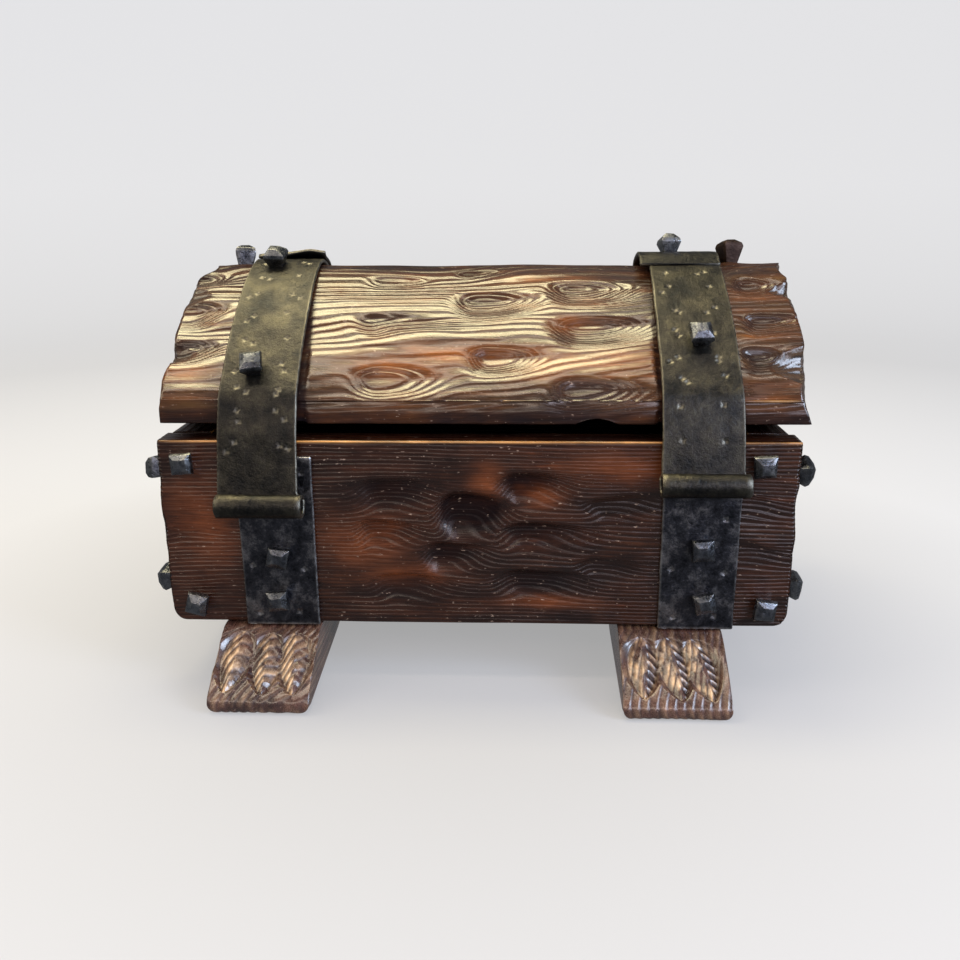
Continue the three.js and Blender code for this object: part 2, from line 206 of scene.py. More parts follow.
def rounded_loop(corners, spacings, radius, steps=4):
    """A closed outline through the corners, each rounded, with the given spacing on the side after it."""
    corners = np.asarray(corners, float)
    part = (np.arange(steps) / steps)[:, None]
    points = []
    for index, corner in enumerate(corners):
        following = corners[(index + 1) % len(corners)]
        back = corners[index - 1] - corner
        ahead = following - corner
        enter = corner + back / np.linalg.norm(back) * radius
        run = ahead / np.linalg.norm(ahead) * radius
        leave = corner + run
        points.append((1 - part) ** 2 * enter + 2 * part * (1 - part) * corner + part**2 * leave)
        points.append(between(leave, following - run, spacings[index]))
    return np.concatenate(points)


def loop_normals(loop):
    """Outward directions of a closed outline."""
    along = np.roll(loop, -1, 0) - np.roll(loop, 1, 0)
    normals = np.stack([along[:, 1], -along[:, 0]], -1)
    normals /= np.linalg.norm(normals, axis=1)[:, None]
    ahead = np.roll(loop, -1, 0)
    area = np.sum(loop[:, 0] * ahead[:, 1] - ahead[:, 0] * loop[:, 1])
    return normals if area > 0 else -normals


def swept(loop, outward, start, stop, stations):
    """The loop at even stations along x, from start to stop of each of its points, and the normals there."""
    share = np.linspace(0.0, 1.0, stations)[:, None]
    grid = np.empty((stations, len(loop), 3))
    grid[..., 0] = start + (stop - start) * share
    grid[..., 1:] = loop
    normals = np.zeros_like(grid)
    normals[..., 1:] = outward
    return grid, normals


def padded(values, count=1):
    """The values with their first and last row repeated."""
    return np.concatenate([np.repeat(values[:1], count, 0), values, np.repeat(values[-1:], count, 0)])


def capped(surface, marks, middle, insets, cap_x, cap_rings, cap_marks):
    """Closes both ends of a swept surface with loops that shrink towards the middle.

    cap_x(loop, side, inset) says where a loop lies along x, cap_rings(points, side) gives its growth rings.
    A mark keeps its value from the edge all over the cap, or takes the one in cap_marks.
    """
    caps = []
    for side, edge in ((-1, surface[0]), (1, surface[-1])):
        loops = []
        for inset in insets:
            loop = edge.copy()
            loop[:, 1:] = edge[:, 1:] + (middle - edge[:, 1:]) * inset
            loop[:, 0] = cap_x(loop, side, inset)
            loops.append(loop)
        caps.append(np.stack(loops))
    points = np.concatenate([caps[0][::-1], surface, caps[1]])
    count = len(insets)
    spread = {key: padded(values, count) for key, values in marks.items()}
    for key, value in cap_marks.items():
        spread[key][:count] = spread[key][-count:] = value
    spread["rings"][:count] = cap_rings(points[:count], -1)
    spread["rings"][-count:] = cap_rings(points[-count:], 1)
    spread["grain"] = points
    return points, spread


# ------------------------------------------------------------------ carved wood


def terrace(phase):
    """One growth ring brushed out of the wood: a slow rise, then a short drop. 0 to 1."""
    part = phase - np.floor(phase)
    shape = np.where(part < 0.68, part / 0.68, (1.0 - part) / 0.32)
    return shape * shape * (3.0 - 2.0 * shape)


def gouges(along, across, cuts, warp):
    """Depth of overlapping gouge cuts, steep at their upper left and running out to their lower right.

    A cut is (along, across, half length, half width, depth). The second result is 1 on its steep side, which
    the lid darkens as painted shade.
    """
    depth = np.zeros(along.shape)
    steep = np.zeros(along.shape)
    for middle, height, half_length, half_width, deepest in cuts:
        offset = along - middle + 0.4 * half_length + 1.5 * warp
        side = across - height - 0.4 * half_width + warp
        length = half_length * np.where(offset > 0, 1.4, 0.6)
        reach = half_width * np.where(side > 0, 0.6, 1.4)
        slope = 1.7 * soft_positive(1.0 - np.hypot(offset / length, side / reach), 9.0)
        flat_bottomed = 1.0 - soft_positive(1.0 - slope, 7.0)
        depth = np.maximum(depth, deepest * flat_bottomed)
        toward_lower_right = offset / half_length - side / half_width
        on_steep_side = smoothstep(0.7, -0.3, toward_lower_right) * min(deepest / 2.0, 1.0)
        steep = np.maximum(steep, flat_bottomed * on_steep_side)
    return depth, steep


def end_rings(points, side):
    """Growth rings on a sawn end: circles around the heart of the tree, which lay below the piece."""
    y, z = points[..., 1], points[..., 2]
    wander = 0.8 * noise(points, (30, 14, 14), 47 if side < 0 else 48)
    return np.hypot(y - 9.0, z - z.min() + 30.0) / RING_PITCH_ON_ENDS + wander


def carve(grid, normals, depth, phase, relief):
    """Sinks the surface by the depth, then brushes the growth rings out of it."""
    step_along = np.abs(np.diff(phase, axis=0, append=phase[-1:]))
    step_around = np.abs(np.roll(phase, -1, 1) - phase)
    fine_enough = smoothstep(0.5, 0.2, np.maximum(step_along, step_around))
    sunk = depth + relief * (1.0 - terrace(phase)) * fine_enough
    return grid - normals * sunk[..., None]


# How far in from its edge each ring of points on a sawn end lies, as a share of the way to its middle.
CAP_INSETS = np.concatenate([[0.015, 0.04], np.arange(0.08, 0.98, 0.07)])
RING_PITCH_ON_ENDS = 3.1

# What the marks are on a sawn end: slightly charred end grain, nowhere worn.
SAWN = {"char": 0.1, "wear": 0.0, "warm": 0.0, "rub": 0.0, "end": 1.0}


def plank(name, loop, low, high, spacing, end_recess, carving, along_axis=0):
    """A carved block of wood: the outline loop swept along its grain from low to high, with end grain caps.

    The loop lies in the other two axes. end_recess gives how far each end is cut back at a point of the loop,
    and carving gives the depth and the marks from the grid of points and their normals.
    """
    stations = max(3, round((high - low) / spacing) + 1)
    start, stop = low + end_recess(loop, -1), high - end_recess(loop, 1)
    grid, normals = swept(loop, loop_normals(loop), start, stop, stations)
    depth, marks = carving(grid, normals)
    marks["end"] = np.zeros_like(depth)
    relief = np.maximum(0.16 + 0.42 * layered_noise(grid, (60, 17, 17), 53), 0.03)
    surface = carve(grid, normals, depth, marks["rings"], relief)

    def sawn_face(ring, side, inset):
        recess = end_recess(ring[:, 1:], side)
        face = low + recess if side < 0 else high - recess
        rounding = 0.9 - 0.9 * smoothstep(0.0, 0.06, inset)
        grown = 0.25 * noise(ring * (1.0, 1.0, 2.2), 2.6, 41 + side)
        return face + side * (grown - rounding)

    points, marks = capped(surface, marks, loop.mean(0), CAP_INSETS, sawn_face, end_rings, SAWN)
    if along_axis == 1:
        points = points[..., [1, 0, 2]]
    return skin(name, points, marks)


# ------------------------------------------------------------------ the lid

LID_HALF = 90.0
LID_RISE = 60.7
SPRINGING = 151.8
LID_BOTTOM = 132.3
FRONT_BOTTOM = 138.7
LID_STATIONS = 246
LID_END_WALL = 20.0


def arch_height(y, half=LID_HALF, rise=LID_RISE):
    """Height of the arch over its springing: a steep foot, and a soft crest at the ridge."""
    return rise * (1.0 - np.minimum(np.abs(y) / half, 1.0) ** 1.5)


def fine_arch(half, rise, springing):
    """Many points of the arch from front to back, and the distance along it to each."""
    y = np.linspace(-half, half, 4001)
    return y, distances(np.stack([y, springing + arch_height(y, half, rise)], -1))


def arch_path(half, rise, springing, spacing_front, spacing_back):
    """The arch from front to back, at an even spacing along it."""
    fine, lengths = fine_arch(half, rise, springing)
    ridge = np.interp(0.0, fine, lengths)
    front = np.linspace(0.0, ridge, math.ceil(ridge / spacing_front) + 1)
    back = np.linspace(ridge, lengths[-1], math.ceil((lengths[-1] - ridge) / spacing_back) + 1)[1:]
    y = np.interp(np.concatenate([front, back]), lengths, fine)
    return np.stack([y, springing + arch_height(y, half, rise)], -1)


def arc_from_ridge(y):
    """Distance along the lid's surface from the ridge, negative to the front."""
    fine, lengths = fine_arch(LID_HALF, LID_RISE, SPRINGING)
    return np.interp(y, fine, lengths) - np.interp(0.0, fine, lengths)


def on_arc(spots):
    """Cuts or spots given by their depth y in the lid, given by their distance from the ridge instead."""
    return [(x, arc_from_ridge(y), *size) for x, y, *size in spots]


# Gouge cuts on the front of the lid: x, y, half length, half width along the surface, depth.
LID_CUTS = [
    (-44, -54, 23, 11, 1.2),
    (-44, -22, 20, 7, 1.2),
    (10, -41, 26, 12, 2.2),
    (63, -33, 28, 12, 2.3),
    (66, -57, 29, 11, 2.6),
    (1, -13, 16, 6, 1.1),
    (-38, -83, 27, 12, 2.0),
    (15, -72, 21, 10, 2.6),
    (63, -88, 27, 11, 2.4),
    (-152, -48, 17, 11, 2.0),
    (-149, -68, 15, 9, 2.0),
    (-154, -20, 13, 10, 1.8),
    (153, -53, 16, 8, 2.0),
    (147, -72, 13, 9, 2.0),
    (151, -28, 14, 9, 1.8),
]


# Patches of the lid that are warmer in tone: x, y, half length, half width along the surface.
LID_WARM = [
    (-10, -68, 60, 8),
    (60, -72, 34, 8),
    (-40, -74, 30, 10),
    (48, -52, 14, 7),
    (36, -74, 22, 8),
    (70, -70, 24, 7),
    (-150, -78, 14, 8),
    (30, -20, 30, 5),
]


def warm_spots(along, across, spots):
    """1 in the middle of each spot, falling softly to 0."""
    total = np.zeros(along.shape)
    for middle, height, half_length, half_width in spots:
        reach = ((along - middle) / half_length) ** 2 + ((across - height) / half_width) ** 2
        total = np.maximum(total, np.exp(-1.4 * reach))
    return total


# From where to where along x the wood is let in under each strap.
STRAP_BEDS = ((-128.5, -87.6), (90.8, 131.0))


def strap_beds(x, s):
    """1 under the straps, where the wood was let in to seat them; the lid darkens it as painted shadow of the
    straps.
    """
    beds = np.zeros(x.shape)
    waver = 0.8 * noise(surface_place(s, x * 0.1), (14, 9, 1), 27)
    for left, right in STRAP_BEDS:
        lower = 2.0 * smoothstep(-40.0, -100.0, s) + waver
        past_left = smoothstep(left - 1.6, left + 1.0, x + waver)
        before_right = smoothstep(right + 1.6, right - 1.0, x - lower)
        beds = np.maximum(beds, past_left * before_right)
    return beds * smoothstep(10.0, -90.0, s)


# Chips off the edges of the lid's ends: x where a chip starts, y of its middle, slope, spread along the edge.
CORNER_CHIPS = [
    (148.0, -74, 0.42, 20.0),
    (155.0, -30, 0.50, 9.0),
    (150.0, 40, 0.42, 18.0),
    (-147.0, -68, 0.36, 12.0),
    (-146.0, -34, 0.30, 20.0),
    (-148.0, 52, 0.42, 18.0),
]


def corner_chips(x, s):
    """Depth of the chips struck off the edges between the outside of the lid and its ends."""
    chips = np.zeros(x.shape)
    for vertex, y, slope, spread in CORNER_CHIPS:
        side = 1.0 if vertex > 0 else -1.0
        away = (x - vertex) * side
        cut = slope * away - (s - arc_from_ridge(y)) ** 2 / spread
        chips = np.maximum(chips, soft_positive(cut, 3.0) - 0.1)
    return np.maximum(chips, 0.0)


def back_cuts():
    """More of the same cuts behind the ridge, which no view of the front shows."""
    random = np.random.default_rng(7)
    cuts = []
    for row, y in enumerate((26, 50, 76)):
        for x in np.arange(-140 + 18 * (row % 2), 160, 52):
            place = random.uniform(-7, 7, 2)
            size = random.uniform(0.85, 1.15)
            cuts.append((x + place[0], y + place[1] * 0.4, 25 * size, 11 * size, random.uniform(2.4, 3.6)))
    return cuts


def lid_outline():
    """The lid's outside from its lower front edge over the ridge to its lower back edge."""
    outer = arch_path(LID_HALF, LID_RISE, SPRINGING, 0.72, 0.98)
    front_band = between((-LID_HALF, FRONT_BOTTOM + 1.2), (-LID_HALF, SPRINGING), 0.8)
    front_corner = np.array([(-LID_HALF + 1.3, FRONT_BOTTOM - 0.1), (-LID_HALF + 0.4, FRONT_BOTTOM + 0.3)])
    back_band = between((LID_HALF, SPRINGING), (LID_HALF, LID_BOTTOM + 1.2), 1.6)[1:]
    back_corner = np.array([(LID_HALF - 0.4, LID_BOTTOM + 0.3), (LID_HALF - 1.3, LID_BOTTOM)])
    return np.concatenate([front_corner, front_band, outer, back_band, back_corner])


def underside(y):
    """Height of the lid's underside, which rises to the front edge."""
    rise = (FRONT_BOTTOM - LID_BOTTOM) / 50.0
    return LID_BOTTOM + np.maximum(-40.0 - y, 0.0) * rise


def lid_cavity():
    """The hollow's outline from back to front, and the same points flat on the underside."""
    half, springing = 73.0, 149.8
    arch = arch_path(half, 47.1, springing, 5.0, 5.0)[::-1]
    back_wall = between((half, LID_BOTTOM), (half, springing), 5.0)
    front_wall = between((-half, springing), (-half, underside(-half)), 5.0)[1:]
    foot = np.array([(-half, underside(-half))])
    hollow = np.concatenate([back_wall, arch, front_wall, foot])
    flat_y = np.linspace(half, -half, len(hollow))
    return hollow, np.stack([flat_y, underside(flat_y)], -1)


# Chips off the left (-1) and right (1) end of the lid: angle around it from the front, half angle, depth.
LID_END_CHIPS = {
    -1: [(0.04, 0.07, 1.0), (0.33, 0.15, 5.6), (1.02, 0.27, 6.0), (1.52, 0.17, 9.5)],
    1: [(0.13, 0.25, 5.8), (0.92, 0.27, 6.2), (1.38, 0.16, 3.6)],
}


def lid_end_recess(points, side):
    """How far an end of the lid is cut back, with chips off its outer edge."""
    y, z = points[..., 0], points[..., 1]
    angle = np.arctan2(z - 150.0, -y)
    reach = np.hypot(y / 90.0, (z - 150.0) / 62.0)
    near_edge = smoothstep(0.72, 1.0, reach)
    chips = LID_END_CHIPS[side]
    recess = np.full(angle.shape, 0.3)
    behind = [(math.pi - middle * 0.9, half, deepest) for middle, half, deepest in chips]
    for middle, half, deepest in chips + behind:
        recess = recess + deepest * near_edge * soft_positive(1.0 - ((angle - middle) / half) ** 2, 6.0)
    return recess


def lid_carving(grid, normals, outer):
    """The lid's surface with its cuts, chips, strap beds and growth rings carved out, and its marks."""
    rows = len(outer)
    lengths = distances(outer)
    across = np.full(grid.shape[1], lengths[-1] + 4.0)
    across[:rows] = lengths
    across -= lengths[np.argmin(np.abs(outer[:, 0]))]
    outside = (np.arange(grid.shape[1]) < rows).astype(float)
    x = grid[..., 0]
    s = np.broadcast_to(across, x.shape)
    place = surface_place(x, s)

    warp = 1.6 * noise(place, (26, 13, 1), 3)
    depth, steep = gouges(x, s, on_arc(LID_CUTS + back_cuts()), warp)
    chips = corner_chips(x, s)
    beds = strap_beds(x, s)
    band = smoothstep(-112.0, -118.0, s)
    near_nails = np.exp(-((np.abs(x - 1.5) - 138.0) / 9.0) ** 2 - ((s - 6.0) / 9.0) ** 2)
    swell = np.maximum(1.5 + 1.6 * layered_noise(place, (64, 25, 1), 11, layers=2), 0.0)
    swell = swell * (1.0 - 0.6 * band) * (1.0 - 0.8 * near_nails)
    carved = depth + swell
    nibbled = 0.9 * (1.0 + noise(place, (22, 9, 1), 37)) * np.exp(-(((s + 111.5) / 4.0) ** 2))
    sunk = (np.maximum(carved + nibbled, 1.9 * beds) + chips) * outside

    drift = 2.4 * noise(place, (150, 50, 1), 21) + 1.2 * noise(place, (55, 17, 1), 22)
    fine = 0.22 * noise(place, (15, 4.5, 1), 23)
    knot = 1.9 * np.exp(-(((x + 44) / 17) ** 2) - ((s - arc_from_ridge(-54.0)) / 7.5) ** 2)
    ring_spacing, ring_thickness = 5.4, 0.6
    phase = -s / ring_spacing - depth / ring_thickness - swell / 1.7 + drift + fine + knot + 0.02 * x
    in_cut = smoothstep(0.2, 0.7, depth)
    cut_end = smoothstep(0.2, 1.2, chips)
    brushed = 0.20 + 0.22 * in_cut + 0.3 * np.maximum(layered_noise(place, (42, 13, 1), 29), 0.0)
    brushed = (brushed + 0.35 * cut_end) * (1.0 - 0.5 * band)
    surface = carve(grid, normals, sunk, phase, brushed)
    surface[:, rows:] = grid[:, rows:]

    # Real scorch in the cuts, on the ridge, on the front band and in the hollow; painted shade on the steep
    # upper-left walls of the cuts; painted shadow of the straps on their beds.
    char = 0.5 * steep + 0.12 * in_cut + 0.85 * np.exp(-((s / 17.0) ** 2)) + 0.75 * band + 1.2 * beds
    # A painted highlight along the lower arris of the lid, on top of real rubbing there.
    arris = np.exp(-(((s + 110.5) / 0.9) ** 2)) * smoothstep(-0.15, 0.35, noise(place, (28, 9, 1), 33))
    marks = {
        "rings": phase,
        "char": np.clip(char, 0.0, 1.0) * outside + 0.6 * (1.0 - outside),
        "wear": smoothstep(3.0, 0.6, carved) * outside * (1.0 - band),
        "warm": warm_spots(x, s, on_arc(LID_WARM)) * outside,
        "rub": 0.7 * arris * outside * (1.0 - beds) * smoothstep(-30.0, 20.0, x),
        "end": cut_end,
    }
    return surface, marks


def lid_piece():
    """The hollowed half log."""
    low, high = node_box("lid")
    outer = lid_outline()
    hollow, flat = lid_cavity()
    under_back = between(outer[-1], flat[0], 6.0)[1:]
    under_front = between(flat[-1], outer[0], 6.0)[1:]
    solid = np.concatenate([outer, under_back, flat, under_front])
    start, stop = low[0] + lid_end_recess(solid, -1), high[0] - lid_end_recess(solid, 1)
    grid, normals = swept(solid, loop_normals(solid), start, stop, LID_STATIONS)
    surface, marks = lid_carving(grid, normals, outer)
    cut_finger_notch(surface)

    # The hollow takes over between two stations, which leaves its end walls upright.
    stations = np.linspace(low[0], high[0], LID_STATIONS)
    first, last = np.searchsorted(stations, (low[0] + LID_END_WALL, high[0] - LID_END_WALL))
    inner = len(outer) + len(under_back)
    inside = surface[first:last, inner : inner + len(hollow)]
    inside[..., 1:] = hollow
    inside[..., 2] += 0.5 * noise(inside, (30, 7, 7), 61) - 0.5

    def sawn_face(ring, side, inset):
        recess = lid_end_recess(ring[:, 1:], side)
        face = low[0] + recess if side < 0 else high[0] - recess
        rounding = 0.8 * (1.0 - smoothstep(0.0, 0.05, inset))
        grown = 0.35 * noise(ring * (1.0, 1.0, 1.6), 3.0, 45 + side)
        return face + side * (0.5 + grown - rounding)

    points, marks = capped(surface, marks, (0.0, 158.0), CAP_INSETS, sawn_face, end_rings, SAWN)
    return skin("carved_lid", points, marks)


def cut_finger_notch(surface):
    """Lifts the lower front edge in a shallow arch, where a fingertip lifts the lid."""
    radius, rise, middle = 20.0, 3.5, 61.0
    x, y, z = np.moveaxis(surface, -1, 0)
    top = FRONT_BOTTOM + rise - radius + np.sqrt(np.maximum(radius**2 - (x - middle) ** 2, 0.0))
    near = (y < -72.0) & (z < 150.0) & (top > FRONT_BOTTOM - 1.0)
    surface[..., 2] = np.where(near, np.maximum(z, top), z)


# ------------------------------------------------------------------ boards

# Gouge cuts on the front board: x, z, half length, half width, depth.
FRONT_CUTS = [
    (0, 91, 22, 14, 5.8),
    (-38, 101, 27, 11, 3.2),
    (-44, 81, 19, 10, 3.0),
    (31, 105, 22, 11, 3.8),
    (36, 80, 28, 9, 3.2),
    (-9, 69, 20, 9, 3.5),
    (38, 54, 30, 10, 3.2),
    (-32, 52, 25, 9, 2.8),
    (74, 96, 18, 8, 1.8),
    (70, 63, 18, 8, 1.8),
    (140, 96, 20, 8, 1.5),
    (142, 70, 20, 9, 1.5),
    (-146, 84, 18, 9, 1.2),
]


# Warmer patches of the front board: x, z, half length, half height.
FRONT_WARM = [
    (6, 110, 10, 11),
    (33, 103, 14, 8),
    (-46, 85, 11, 7),
    (-60, 78, 26, 16),
    (-34, 60, 26, 7),
    (-140, 90, 22, 30),
    (36, 45, 26, 4),
    (80, 118, 40, 10),
]

# Height of the boards' lower edge, whose corners are rounded off.
BOARD_BOTTOM = 32.0


def face_cuts(seed, low, high, deepest):
    """Scattered cuts for a face that no view of the front shows."""
    random = np.random.default_rng(seed)
    cuts = []
    for z in (56, 82, 110):
        for x in np.arange(low + 20, high - 10, 46):
            size = random.uniform(0.8, 1.2)
            shift = random.uniform(-8, 8, 2)
            depth = deepest * random.uniform(0.4, 1)
            cuts.append((x + shift[0], z + shift[1] * 0.5, 22 * size, 9 * size, depth))
    return cuts


def board_carving(cuts, outward, pitch, seed, warm_places=()):
    """Carving for a board whose outer face looks along outward (the sign of its normal)."""

    def carving(grid, normals):
        facing = np.clip(normals[..., 1] * outward, 0.0, 1.0) ** 2
        x, z = grid[..., 0], grid[..., 2]
        place = surface_place(x, z, seed * 10.0)
        warp = 1.8 * noise(place, (24, 12, 1), seed)
        depth = gouges(x, z, cuts, warp)[0]
        depth = depth + np.maximum(0.5 + 0.5 * layered_noise(place, (80, 18, 1), seed + 5), 0)
        depth = depth * facing + 0.3 * (1 - facing)
        drift = 1.6 * noise(place, (170, 40, 1), seed + 9) + 0.5 * noise(place, (60, 10, 1), seed + 10)
        fine = 0.1 * noise(place, (18, 3, 1), seed + 11)
        marks = {
            "rings": z / pitch - 0.9 * depth + drift + grid[..., 1] * 0.22 + fine,
            "char": np.clip((depth - 1.8) / 2.6, 0.0, 1.0) * facing,
            "wear": smoothstep(1.2, 0.2, depth) * facing,
            "warm": warm_spots(x, z, warm_places) * facing,
            "rub": corner_wear_and_highlight(normals),
        }
        return depth, marks

    return carving


def corner_wear_and_highlight(normals):
    """1 on the upper rounded corners of an outline, where hands have rubbed and where a painted highlight
    marks the edge catching the light.
    """
    slanted = 4.0 * (normals[..., 1] * normals[..., 2]) ** 2
    return np.clip(slanted, 0.0, 1.0) * (normals[..., 2] > 0)


def wavy_ends(seed):
    """Ends cut by hand: they stand a little proud, waver, and are rounded off at the bottom corners."""
    corner = 9.0

    def recess(points, side):
        y, z = points[..., 0], points[..., 1]
        waves = 0.7 * (1.5 * layered_noise(surface_place(z, y * 0.2, side * 9.0), (15, 40, 9), seed) - 2.2)
        below = np.maximum(corner - (z - BOARD_BOTTOM), 0.0)
        return waves + corner - np.sqrt(np.maximum(corner**2 - below**2, 0.0))

    return recess


def straight_ends(depth):
    """Sawn ends, cut back by the same depth all over."""

    def recess(points, side):
        return np.full(points.shape[:-1], depth)

    return recess


def board_loop(outer, inner, low_z, high_z, spacings, radius):
    """A board's outline. The spacings are for its outer face, bottom, inner face and top."""
    corners = [(outer, high_z), (outer, low_z), (inner, low_z), (inner, high_z)]
    return rounded_loop(corners, spacings, radius)


def wall(name, outward, thin_axis, face_spacing, spacing, ends, carving):
    """One of the four upright boards, with the name of its CAD node. It is thin along x (0) or y (1)."""
    low, high = node_box(name)
    grain_axis = 1 - thin_axis
    outer, inner = (low, high) if outward < 0 else (high, low)
    top_spacing, radius = (1.6, 1.6) if grain_axis else (1.5, 1.8)
    spacings = (face_spacing, 3.0, 5.0, top_spacing)
    loop = board_loop(outer[thin_axis], inner[thin_axis], low[2], high[2], spacings, radius)
    start, stop = low[grain_axis], high[grain_axis]
    return plank("carved_" + name, loop, start, stop, spacing, ends, carving, along_axis=grain_axis), name


def boards():
    """The five boards of the box, each with the name of its CAD node."""
    front = board_carving(FRONT_CUTS, -1, 2.15, 3, FRONT_WARM)
    back = board_carving(face_cuts(5, -160, 160, 2.8), 1, 2.15, 8)
    pieces = [
        wall("front_board", -1, 1, 0.62, 1.35, wavy_ends(31), front),
        wall("back_board", 1, 1, 0.9, 1.35, wavy_ends(31), back),
    ]
    for name, outward in (("left_end_board", -1), ("right_end_board", 1)):
        carving = board_carving(face_cuts(12 + outward, -76, 76, 3.0), outward, 2.6, 14 + outward)
        pieces.append(wall(name, outward, 0, 0.9, 1.3, straight_ends(0.4), carving))
    low, high = node_box("bottom_board")
    loop = board_loop(low[1], high[1], low[2], high[2], (3.0, 6.0, 3.0, 1.6), 1.0)
    bottom = plank("planed_bottom_board", loop, low[0], high[0], 2.6, straight_ends(0.3), floor_carving)
    return pieces + [(bottom, "bottom_board")]


def floor_carving(grid, normals):
    """The bottom board: sawn smooth, three boards wide, with narrow grooves between them."""
    x, y = grid[..., 0], grid[..., 1]
    groove = np.exp(-(((np.abs(y) - 25.5) / 0.7) ** 2)) * np.clip(normals[..., 2], 0, 1)
    depth = 0.2 + 0.15 * noise(grid, (60, 9, 9), 71) + 1.2 * groove
    phase = y / 4.5 + 1.2 * noise(grid, (120, 26, 26), 72) + 0.02 * x
    nothing = np.zeros_like(x)
    return depth, {"rings": phase, "char": groove, "wear": nothing, "warm": nothing, "rub": nothing}


# ------------------------------------------------------------------ runners

RUNNER_REACH = 137.0
RUNNER_SLOPE = 98.0
RUNNER_ROUNDING = 6.0
LEAF_HALF_WIDTH = 7.2

# The leaves of each runner, from (x, distance down the slope) at the top to the same at the bottom.
LEFT_LEAVES = [((-122, 4), (-126, 40)), ((-108, 5), (-107, 41)), ((-95, 5), (-91, 41))]
RIGHT_LEAVES = [((86, 5), (85, 40)), ((98, 5), (104, 41)), ((111, 6), (119, 41))]

# Each runner: name, angle of its growth rings in degrees, depth of the teeth, ring relief, seed, leaves.
RUNNERS = [
    ("left_runner", 38, 0.4, 0.45, 81, LEFT_LEAVES),
    ("right_runner", 62, 2.2, 0.3, 91, RIGHT_LEAVES),
]


def leaf_cut(x, s, top, bottom, tooth_depth):
    """One carved leaf: two flanks fall from a sharp midrib, and the right one is toothed.

    Gives the depth, the depth of the teeth alone, and a painted highlight, full on the left flank and weaker
    on the right.
    """
    top, bottom = np.array(top, float), np.array(bottom, float)
    length = np.linalg.norm(bottom - top)
    run = (bottom - top) / length
    along = (x - top[0]) * run[0] + (s - top[1]) * run[1]
    across = (x - top[0]) * run[1] - (s - top[1]) * run[0]
    share = np.clip(along / length, 0.0, 1.0)
    half = LEAF_HALF_WIDTH * np.sin(math.pi * share**0.75) ** 0.7 + 0.01
    side = np.abs(across) / half
    taper = np.sin(math.pi * share) ** 0.4
    flank = np.clip(side, 0.0, 1.0) ** 1.2 * smoothstep(1.7, 1.0, side)
    tooth = np.mod((along - 0.9 * across) / 5.2, 1.0)
    height = np.where(across > 0, tooth_depth, 0.1 * tooth_depth)
    on_flank = smoothstep(0.15, 0.5, side) * smoothstep(1.15, 0.9, side)
    notch = height * on_flank * tooth**2 * (1.0 - tooth) * 5.0 * taper
    inside = smoothstep(1.15, 0.85, side) * smoothstep(0.0, 0.3, taper)
    # Painted highlight: the left flank, which faces the light, is painted brighter than the toothed right
    # one.
    painted_highlight = inside * np.where(across < 0.5, 1.0, 0.35)
    return 3.3 * flank * taper + notch, notch, painted_highlight


def runner_outline(top):
    """A runner seen from the side, and the directions out of it. The carved slopes swell a little."""
    corners = [(-RUNNER_SLOPE, top), (-RUNNER_REACH + 0.5, 7.0), (-RUNNER_REACH + 1.2, 0.0)]
    corners += [(-y, z) for y, z in corners[::-1]]
    loop = rounded_loop(corners, (0.55, 1.4, 8.0, 1.4, 0.8, 5.0), 3.2)
    outward = loop_normals(loop)
    down_slope = np.clip((np.abs(loop[:, 0]) - RUNNER_SLOPE) / (RUNNER_REACH - RUNNER_SLOPE), 0.0, 1.0)
    swollen = 1.5 * np.sin(math.pi * down_slope) * smoothstep(7.0, 10.0, loop[:, 1])
    return loop + outward * swollen[:, None], outward


def runner_carving(grid, normals, top, leaves, ring_angle, tooth_depth, seed):
    """The leaves on the slopes of a runner: their depth, and the marks of its wood."""
    x, y, z = np.moveaxis(grid, -1, 0)
    down = np.hypot(np.abs(y) - RUNNER_SLOPE, z - top) * (np.abs(y) > RUNNER_SLOPE)
    on_slope = smoothstep(0.3, 0.55, np.abs(normals[..., 1])) * (normals[..., 2] > 0.25)
    carved = np.zeros((3,) + x.shape)
    for leaf_top, leaf_bottom in leaves:
        carved = np.maximum(carved, leaf_cut(x, down, leaf_top, leaf_bottom, tooth_depth))
    depth, teeth, painted_highlight = carved * on_slope
    place = surface_place(x, down, y * 0.3)
    depth = depth + 0.6 * np.maximum(0.5 + 0.4 * noise(place, (22, 22, 40), seed), 0.0)
    turn = math.radians(ring_angle)
    phase = (x * math.sin(turn) + down * math.cos(turn)) / 3.8 - 0.2 * depth
    phase = phase + 0.9 * noise(place, (30, 30, 60), seed + 1) + z * 0.12
    # The notches and deepest cuts are darkened as painted shade, and the lit left flanks brightened as
    # painted highlight.
    marks = {
        "rings": phase,
        "char": 0.7 * np.clip(teeth - 0.3, 0.0, 1.0) + 0.3 * smoothstep(1.7, 2.6, depth),
        "wear": 0.2 + 1.4 * painted_highlight * smoothstep(1.2, 0.3, teeth),
        "end": np.zeros_like(phase),
    }
    return depth, marks


